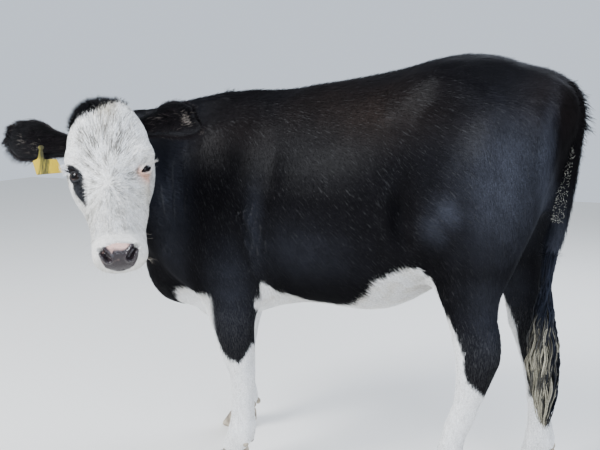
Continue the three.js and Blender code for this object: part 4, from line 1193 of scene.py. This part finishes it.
def makeRidgeWisps():  # short hair that stands off the line of the back, and one tuft at the withers
    count, more = ridge["count"], withersTuft["count"]
    x = np.concatenate([ridge["from"] + ridge["run"] * chance.random(count),
                        withersTuft["at"] + withersTuft["spread"][0] * chance.normal(size=more)])
    y = np.concatenate([ridge["spread"] * chance.normal(size=count),
                        withersTuft["spread"][1] * chance.normal(size=more)])
    roots = castOnSkin(np.stack([x, y, np.full(len(x), ridge["above"])], 1), (0, 0, -1))
    start = unit(np.array((0.55, 0, 0.8)) + 0.5 * swirls(roots, 8, 51)
                 + 0.12 * chance.normal(size=roots.shape))
    uneven = 0.4 + 0.8 * ramp(-0.4, 0.4, swirl(roots[:count], 14, 54))
    length = np.concatenate([ridge["length"] * (0.3 + 0.8 * chance.random(count)) * uneven,
                             withersTuft["length"] * (0.4 + 0.6 * chance.random(more))])
    return standingHair("ridge_wisps", roots, start, length, 0.15, ridge["radius"])


straw = {"count": 300, "length": 5, "radius": 0.4, "from": 0.34, "run": 0.46, "off": 31,
         "behind": (-0.7, 1.1), "colour": "#d2d0c2"}


def makeStraw():  # bits of straw caught in the tail
    count = straw["count"]
    spots = pointAlong(tailBone, straw["from"] + straw["run"] * chance.random(count))
    least, spread = straw["behind"]
    out = unit(np.stack([least + spread * chance.random(count), -np.ones(count), np.zeros(count)], 1))
    start = unit(chance.normal(size=(count, 3)) * (1, 0.2, 1.6))
    length = straw["length"] * (0.35 + 0.9 * chance.random(count))
    paths = strandPaths(spots + out * straw["off"], start, length, 5, 0.03, 0.0)
    shades = linear(straw["colour"]) * (0.45 + 0.6 * chance.random((count, 1, 1))) * np.ones((1, 5, 1))
    return sweep("straw", paths, taper(paths, straw["radius"]), 4, nearestUv(spots), shades)


pollFuzz, earLocks, lashPiece, whiskerPiece, switchPiece = (
    makePollFuzz(), makeEarHair(), makeLashes(), makeWhiskers(), makeSwitch())
wispPiece, ridgePiece, strawPiece = makeTailWisps(), makeRidgeWisps(), makeStraw()
eyeLook = {"bulge": 0.075, "pupil": (0.40, 0.24), "iris": 0.74, "colours": ("#2b1f1b", "#170e0a", "#050507")}


def makeEyeball(name, side):
    centre, along, up, out = eyeFrame(side)
    clearSelection()
    bpy.ops.mesh.primitive_uv_sphere_add(segments=48, ring_count=32, radius=1)
    piece = bpy.context.active_object
    piece.name = name
    across, high, deep = readAll(piece.data.vertices, "co", 3).astype(float).T
    bulge = 1 + eyeLook["bulge"] * ramp(0.72, 0.95, deep)
    placePoints(piece, fromHead(centre + (eyeBall * bulge)[:, None] * (
        across[:, None] * along + high[:, None] * up + deep[:, None] * out)))
    faceOutwards(piece)
    piece.data.shade_smooth()
    front = (deep > 0)[:, None]
    r = np.hypot(across, high)
    wide, tall = eyeLook["pupil"]
    pupil = ramp(1.1, 0.9, np.hypot(across / wide, high / tall))[:, None] * front
    iris = ramp(eyeLook["iris"] + 0.02, eyeLook["iris"] - 0.04, r)[:, None] * front
    rim = np.exp(-((r - eyeLook["iris"]) / 0.05) ** 2)[:, None]
    streak = (0.8 + 0.25 * np.sin(34 * np.arctan2(high, across)))[:, None]
    white, brown, black = (linear(code) for code in eyeLook["colours"])
    colour = between(white, brown * streak, iris) * (1 - 0.7 * rim)
    setColour(piece, "eyeColour", between(colour, black, pupil))
    return piece


eyePieces = [makeEyeball("eyeball_left", 1), makeEyeball("eyeball_right", -1)]


rims = {"stops": 64, "sides": 8, "radius": 1.4, "offBall": 1.1}


def makeLidRims():  # the rolled edge of the lids, a closed tube round each slit
    stops, sides = rims["stops"], rims["sides"]
    theta = np.linspace(0, 2 * math.pi, stops + 1)[:-1]
    points, faces = [], []
    for side in (-1, 1):
        centre, along, up, out = eyeFrame(side)
        u = lids["halfLength"] * np.cos(theta)
        t = np.abs(np.cos(theta)) ** 2.2
        lean = 1 + 0.14 * u / lids["halfLength"]
        high, low = eyeSet[side]["open"]
        v = np.where(np.sin(theta) > 0, high, -low) * (1 - t) * lean
        flat = along * u[:, None] + up * v[:, None]
        path = centre + flat + out * np.sqrt((eyeBall + rims["offBall"]) ** 2 - (flat ** 2).sum(1))[:, None]
        run = unit(np.roll(path, -1, 0) - np.roll(path, 1, 0))
        away = unit(path - centre)
        aside = np.cross(run, away)
        base = len(points) * sides
        for i, p in enumerate(path):
            points.append([p + rims["radius"] * (math.cos(k) * away[i] * 0.8 + math.sin(k) * aside[i])
                           for k in np.linspace(0, 2 * math.pi, sides + 1)[:-1]])
            here, after = base + i * sides, base + (i + 1) % stops * sides
            for k in range(sides):
                ahead = (k + 1) % sides
                faces.append((here + k, here + ahead, after + ahead, after + k))
    piece = meshFrom("lid_rims", fromHead(np.array(points).reshape(-1, 3)), faces)
    faceOutwards(piece)
    return piece


lidRims = makeLidRims()
clawSizes = {"voxel": 0.0026, "rounds": 9}


def makeClaw(node):
    piece = joinCopies([node], f"{node}_horn")
    addModifier(piece, "REMESH", mode="VOXEL", voxel_size=clawSizes["voxel"], use_smooth_shade=True)
    relax(piece, clawSizes["rounds"])
    points = pointsOf(piece)
    z = points[:, 2]
    points[:, 2] = np.where(z < 3.5, np.maximum(z, 0) * 0.35, z)
    placePoints(piece, points)
    piece.data.shade_smooth()
    return piece


clawNodes = [f"{pair}_{side}_{which}_claw" for pair in ("fore", "hind") for side in ("left", "right")
             for which in ("outer", "inner")]
claws = [makeClaw(node) for node in clawNodes]
dewclaw = {"height": 86, "apart": 18, "behind": {"fore": 8, "hind": 13}, "radius": 9.5,
           "stretch": (1.15, 0.8, 1.25), "turn": 0.5}


def makeDewclaws():
    made = []
    for pair in ("fore", "hind"):
        for side in ("left", "right"):
            low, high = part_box(f"{pair}_{side}_outer_claw")
            low2, high2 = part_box(f"{pair}_{side}_inner_claw")
            middle = (min(low[1], low2[1]) + max(high[1], high2[1])) / 2
            for s in (-1, 1):
                clearSelection()
                spot = (high[0] + dewclaw["behind"][pair] / 1000, middle + s * dewclaw["apart"] / 1000,
                        dewclaw["height"] / 1000)
                bpy.ops.mesh.primitive_uv_sphere_add(
                    segments=20, ring_count=12, radius=dewclaw["radius"] / 1000, location=spot)
                piece = bpy.context.active_object
                editAll(piece, bpy.ops.transform.resize, value=dewclaw["stretch"], center_override=spot)
                editAll(piece, bpy.ops.transform.rotate, value=dewclaw["turn"], orient_axis="Y",
                        center_override=spot)
                bpy.ops.object.transform_apply()
                piece.data.shade_smooth()
                made.append(piece)
    joinInto(made[0], made[1:])
    made[0].name = "dewclaws"
    return made[0]


dewclaws = makeDewclaws()

tag = {"along": 0.55, "across": 33, "width": 60, "height": 41, "neck": 7, "neckLength": 32, "lean": 0.34,
       "tilt": 0.17, "thickness": 2.6, "corner": 3.2, "pin": 3.6, "button": 13, "stand": 23, "slope": 4,
       "set": 20, "hangs": (1, -0.08, 0.02), "faces": (0.12, 0.12, 1)}


def tagFrame():  # its pin, and its own directions: across, up and out of its face
    shape = ears["right"]
    hangs = unit(tag["hangs"])
    faces = unit(np.array(tag["faces"]) - hangs * np.dot(tag["faces"], hangs))
    hole = np.array(shape["root"], float) + unit(shape["along"]) * shape["length"] * tag["along"]
    return hole + hangs * tag["across"], np.cross(faces, hangs), -hangs, faces


def makeTag():  # a flag with a neck, hung from a pin through the ear
    pin, x, y, z = tagFrame()
    out = z @ headFrame
    half, start, slope = tag["neck"] / 2, -tag["set"], tag["slope"]
    end = start + tag["width"]
    top = -tag["neckLength"]
    low = top - tag["height"]
    outline = [(half * 2.1, top - 2), (end - slope, top - slope), (end, low), (start - slope / 2, low),
               (start, top - slope), (-half * 1.9, top + 1)]
    outline += [(half * math.cos(k), half * math.sin(k)) for k in np.linspace(math.pi, 0, 9)]
    flat = np.array(outline, float)
    below = ramp(-12, -30, flat[:, 1])
    flat = flat + below[:, None] * np.stack([-(flat[:, 1] - top) * tag["lean"], flat[:, 0] * tag["tilt"]], 1)
    points = fromHead(pin + flat[:, :1] * x + flat[:, 1:2] * y + (tag["stand"] + 1.6) * z)
    panel = meshFrom("tag_panel", points, [tuple(range(len(flat)))], smooth=False)
    faceOutwards(panel)
    editAll(panel, bpy.ops.mesh.bevel, offset=tag["corner"] / 1000, segments=4, affect="VERTICES")
    addModifier(panel, "SOLIDIFY", thickness=tag["thickness"] / 1000, offset=0)
    addModifier(panel, "BEVEL", width=0.0006, segments=2, limit_method="ANGLE")
    rounds = [  # radius, depth and distance from the ear: the pin, its button behind, and a collar and a stud
        (tag["pin"], 2 * tag["stand"], 0), (tag["button"], 3.0, -tag["stand"] - 1.6),
        (tag["pin"] * 1.9, 2.4, tag["stand"] + 3.4), (tag["button"] * 0.45, 4.4, -tag["stand"] - 3.0)]
    made = []
    for radius, deep, at in rounds:
        clearSelection()
        bpy.ops.mesh.primitive_cylinder_add(
            vertices=40, radius=radius / 1000, depth=deep / 1000,
            location=tuple(toScene(fromHead(pin) + out * at)),
            rotation=Vector(out).to_track_quat("Z", "Y").to_euler())
        made.append(bpy.context.active_object)
        bpy.ops.object.transform_apply()
        addModifier(made[-1], "BEVEL", width=0.0007, segments=2, limit_method="ANGLE")
    joinInto(panel, made)
    panel.name = "tag_panel"
    bpy.ops.object.shade_smooth_by_angle(angle=0.6)
    return panel


tagPiece = makeTag()
print("eyes, claws and tag made")


def feed(tree, node, links):  # a node's plain values, and what feeds it
    for key, value in links.items():
        socket = node.inputs[int(key[1:])] if key[1:].isdigit() else node.inputs[key.replace("_", " ")]
        if isinstance(value, bpy.types.NodeSocket):
            tree.links.new(value, socket)
        else:
            socket.default_value = value


def addNode(tree, kind, settings=None, **links):
    node = tree.nodes.new(kind)
    for key, value in (settings or {}).items():
        setattr(node, key, value)
    feed(tree, node, links)
    return node


def startMaterial(name, **values):
    material = bpy.data.materials.new(name)
    material.use_nodes = True
    shader = material.node_tree.nodes["Principled BSDF"]
    feed(material.node_tree, shader, values)
    return material, material.node_tree, shader


def setTones(colourRamp, stops):  # places and colours for a colour ramp, from low to high
    while len(colourRamp.elements) < len(stops):
        colourRamp.elements.new(0.5)
    for spot, (at, code) in zip(colourRamp.elements, stops):
        spot.position = at
        spot.color = (*linear(code), 1)


def hairMaterial():  # cattle hair: a satin fibre, its tone uneven every 4 mm
    material, tree, shader = startMaterial("cattle_hair", Roughness=0.5, IOR=1.45, Specular_IOR_Level=0.08)
    colour = addNode(tree, "ShaderNodeAttribute", {"attribute_name": "coatColour"})
    where = addNode(tree, "ShaderNodeTexCoord")
    grain = addNode(tree, "ShaderNodeTexNoise", i0=where.outputs["Object"], Scale=260.0, Detail=2.0)
    spread = addNode(tree, "ShaderNodeMapRange", i0=grain.outputs["Fac"], i1=0.3, i2=0.7, i3=0.72, i4=1.25)
    mix = addNode(tree, "ShaderNodeVectorMath", {"operation": "SCALE"}, i0=colour.outputs["Color"],
                  Scale=spread.outputs["Result"])
    feed(tree, shader, {"Base_Color": mix.outputs["Vector"]})
    return material


def skinMaterial():  # short lying hair as a bump every 2 mm, and the wet bare nose with its cells 3 mm across
    material, tree, shader = startMaterial("combed_skin", IOR=1.45, Specular_IOR_Level=0.5)
    colour = addNode(tree, "ShaderNodeAttribute", {"attribute_name": "coatColour"})
    wet = addNode(tree, "ShaderNodeAttribute", {"attribute_name": "wetNose"})
    where = addNode(tree, "ShaderNodeTexCoord")
    hairs = addNode(tree, "ShaderNodeTexNoise", i0=where.outputs["Object"], Scale=420.0, Detail=3.0)
    cells = addNode(tree, "ShaderNodeTexVoronoi", i0=where.outputs["Object"], Scale=330.0)
    relief = addNode(tree, "ShaderNodeMix", i0=wet.outputs["Fac"], i2=hairs.outputs["Fac"],
                     i3=cells.outputs["Distance"])
    bump = addNode(tree, "ShaderNodeBump", Strength=0.5, Distance=0.0012, Height=relief.outputs[0])
    rough = addNode(tree, "ShaderNodeMapRange", i0=wet.outputs["Fac"], i1=0.0, i2=1.0, i3=0.75, i4=0.14)
    spread = addNode(tree, "ShaderNodeMapRange", i0=hairs.outputs["Fac"], i1=0.3, i2=0.7, i3=0.75, i4=1.2)
    mix = addNode(tree, "ShaderNodeVectorMath", {"operation": "SCALE"}, i0=colour.outputs["Color"],
                  Scale=spread.outputs["Result"])
    feed(tree, shader, {"Base_Color": mix.outputs["Vector"], "Roughness": rough.outputs["Result"],
                        "Normal": bump.outputs["Normal"]})
    return material


def eyeMaterial():  # the wet cornea over a dark brown iris
    material, tree, shader = startMaterial("wet_eye", Roughness=0.08, IOR=1.38, Specular_IOR_Level=0.25)
    colour = addNode(tree, "ShaderNodeAttribute", {"attribute_name": "eyeColour"})
    feed(tree, shader, {"Base_Color": colour.outputs["Color"]})
    return material


def rimMaterial():  # the dark moist edge of the lids, in two browns that change every 7 mm
    material, tree, shader = startMaterial("lid_margin", Roughness=0.5, Specular_IOR_Level=0.2)
    where = addNode(tree, "ShaderNodeTexCoord")
    patches = addNode(tree, "ShaderNodeTexNoise", i0=where.outputs["Object"], Scale=140.0, Detail=3.0)
    tones = addNode(tree, "ShaderNodeValToRGB", Fac=patches.outputs["Fac"])
    setTones(tones.color_ramp, [(0.4, "#17100f"), (0.75, "#3a2622")])
    feed(tree, shader, {"Base_Color": tones.outputs["Color"]})
    return material


def hornMaterial():  # claw horn: grey-brown keratin, growth rings about 7 mm apart, patches of dried mud
    material, tree, shader = startMaterial("claw_horn", Roughness=0.5)
    where = addNode(tree, "ShaderNodeTexCoord")
    rings = addNode(tree, "ShaderNodeTexWave", {"bands_direction": "Z"}, i0=where.outputs["Object"],
                    Scale=42.0, Distortion=2.5, Detail=2.0)
    patches = addNode(tree, "ShaderNodeTexNoise", i0=where.outputs["Object"], Scale=38.0, Detail=5.0)
    tones = addNode(tree, "ShaderNodeValToRGB", Fac=patches.outputs["Fac"])
    setTones(tones.color_ramp, [(0.30, "#5a5045"), (0.5, "#8b806f"), (0.72, "#b5aa96")])
    bump = addNode(tree, "ShaderNodeBump", Strength=0.35, Distance=0.001, Height=rings.outputs["Fac"])
    feed(tree, shader, {"Base_Color": tones.outputs["Color"], "Normal": bump.outputs["Normal"]})
    return material


def tagMaterial():  # moulded polyurethane: a satin yellow, with streaks of dirt 2 mm wide
    material, tree, shader = startMaterial(
        "moulded_polyurethane", Roughness=0.5, IOR=1.5, Specular_IOR_Level=0.25)
    where = addNode(tree, "ShaderNodeTexCoord")
    pin, x, y = tagFrame()[:3]
    axes = [tuple(v @ headFrame) for v in (x, y)]
    across, down = (addNode(tree, "ShaderNodeVectorMath", {"operation": "DOT_PRODUCT"},
                            i0=where.outputs["Object"], i1=axis) for axis in axes)
    middle = float(np.dot(toScene(fromHead(pin + x * 9)), axes[0]))
    stem = float(np.dot(toScene(fromHead(pin - y * 30)), axes[1]))
    stretched = addNode(tree, "ShaderNodeCombineXYZ", X=across.outputs["Value"], Y=down.outputs["Value"])
    drawnOut = addNode(tree, "ShaderNodeMapping", i0=stretched.outputs["Vector"], Scale=(420, 34, 1))
    grime = addNode(tree, "ShaderNodeTexNoise", i0=drawnOut.outputs["Vector"], Scale=1.0, Detail=4.0)
    offset = addNode(tree, "ShaderNodeMath", {"operation": "SUBTRACT"}, i0=across.outputs["Value"], i1=middle)
    apart = addNode(tree, "ShaderNodeMath", {"operation": "ABSOLUTE"}, i0=offset.outputs["Value"])
    near = addNode(tree, "ShaderNodeMapRange", i0=apart.outputs["Value"], i1=0.006, i2=0.017, i3=0.33, i4=0.0)
    above = addNode(tree, "ShaderNodeMapRange", i0=down.outputs["Value"], i1=stem - 0.006, i2=stem + 0.014,
                    i3=0.0, i4=0.24)
    streaks = addNode(tree, "ShaderNodeMath", {"operation": "SUBTRACT"}, i0=grime.outputs["Fac"],
                      i1=near.outputs["Result"])
    soiled = addNode(tree, "ShaderNodeMath", {"operation": "SUBTRACT"}, i0=streaks.outputs["Value"],
                     i1=above.outputs["Result"])
    tones = addNode(tree, "ShaderNodeValToRGB", Fac=soiled.outputs["Value"])
    setTones(tones.color_ramp, [(0.08, "#35321b"), (0.25, "#6e662a"), (0.38, "#b5991f")])
    bump = addNode(tree, "ShaderNodeBump", Strength=0.2, Distance=0.0004, Height=grime.outputs["Fac"])
    feed(tree, shader, {"Base_Color": tones.outputs["Color"], "Normal": bump.outputs["Normal"]})
    return material


def dress(pieces, material):
    for piece in pieces:
        piece.data.materials.clear()
        piece.data.materials.append(material)


setAmount(skin, "wetNose", wetness(skinPoints))
setColour(skin, "coatColour", skinColour())
hair = hairMaterial()
dress([skin], skinMaterial())
dress(coat + [pollFuzz, earLocks, lashPiece, whiskerPiece], hair)
dress([switchPiece, wispPiece, ridgePiece, strawPiece], hair)
dress(eyePieces, eyeMaterial())
dress([lidRims], rimMaterial())
dress(claws + [dewclaws], hornMaterial())
dress([tagPiece], tagMaterial())

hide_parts(*fleshNodes, "ear_left", "ear_right")
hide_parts("eye_left")
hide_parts("eye_right")
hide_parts("ear_tag")
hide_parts("tail_switch")
for piece, node in zip(claws, clawNodes):
    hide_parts(node)
slots = [([skin] + coat + [pollFuzz, earLocks, wispPiece, ridgePiece], "black_coat"),
         ([lashPiece, whiskerPiece, strawPiece], "white_coat"),
         (eyePieces + [lidRims], "eye"), (claws + [dewclaws], "horn"), ([tagPiece], "tag"),
         ([switchPiece], "switch")]
for pieces, name in slots:
    for piece in pieces:
        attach(piece, "root")

# A pale floor, soft light, and a viewer standing at her left hip.
clearSelection()
bpy.ops.mesh.primitive_plane_add(size=14, location=(0, 0, 0))
floor = bpy.context.active_object
floor.name = "floor"
dress([floor], startMaterial("pale_floor", Roughness=0.7, Base_Color=(*linear("#dedbd5"), 1))[0])

lights = [  # place, aimed at, power, size, colour
    ((-2.6, -3.0, 3.6), (0, 0, 0.6), 460, 2.0, "#f8fbff"),
    ((2.8, -2.8, 2.6), (0.1, 0, 0.6), 150, 3.0, "#e6efff"),
    ((0.8, 2.6, 3.4), (0.1, 0, 0.9), 170, 2.4, "#e6efff"),
]
for i, (place, aim, power, size, tint) in enumerate(lights):
    lamp = bpy.data.lights.new(f"soft_light_{i}", "AREA")
    lamp.energy, lamp.size, lamp.color = power, size, linear(tint)
    holder = bpy.data.objects.new(f"soft_light_{i}", lamp)
    bpy.context.collection.objects.link(holder)
    holder.location = place
    holder.rotation_euler = (Vector(aim) - Vector(place)).to_track_quat("-Z", "Y").to_euler()
world = bpy.data.worlds.new("studio")
bpy.context.scene.world = world
world.use_nodes = True
world.node_tree.nodes["Background"].inputs["Color"].default_value = (*linear("#dce7f5"), 1)
world.node_tree.nodes["Background"].inputs["Strength"].default_value = 1.1

viewer = {"place": (680, -2120, 1090), "turned": 22, "down": 9.1, "lens": 46.8}
turned, down = math.radians(viewer["turned"]), math.radians(viewer["down"])
ahead = Vector((-math.sin(turned) * math.cos(down), math.cos(turned) * math.cos(down), -math.sin(down)))
lens = bpy.data.cameras.new("viewer")
lens.lens = viewer["lens"]
camera = bpy.data.objects.new("viewer", lens)
bpy.context.collection.objects.link(camera)
camera.location = Vector(toScene(viewer["place"]))
camera.rotation_euler = ahead.to_track_quat("-Z", "Y").to_euler()
bpy.context.scene.camera = camera
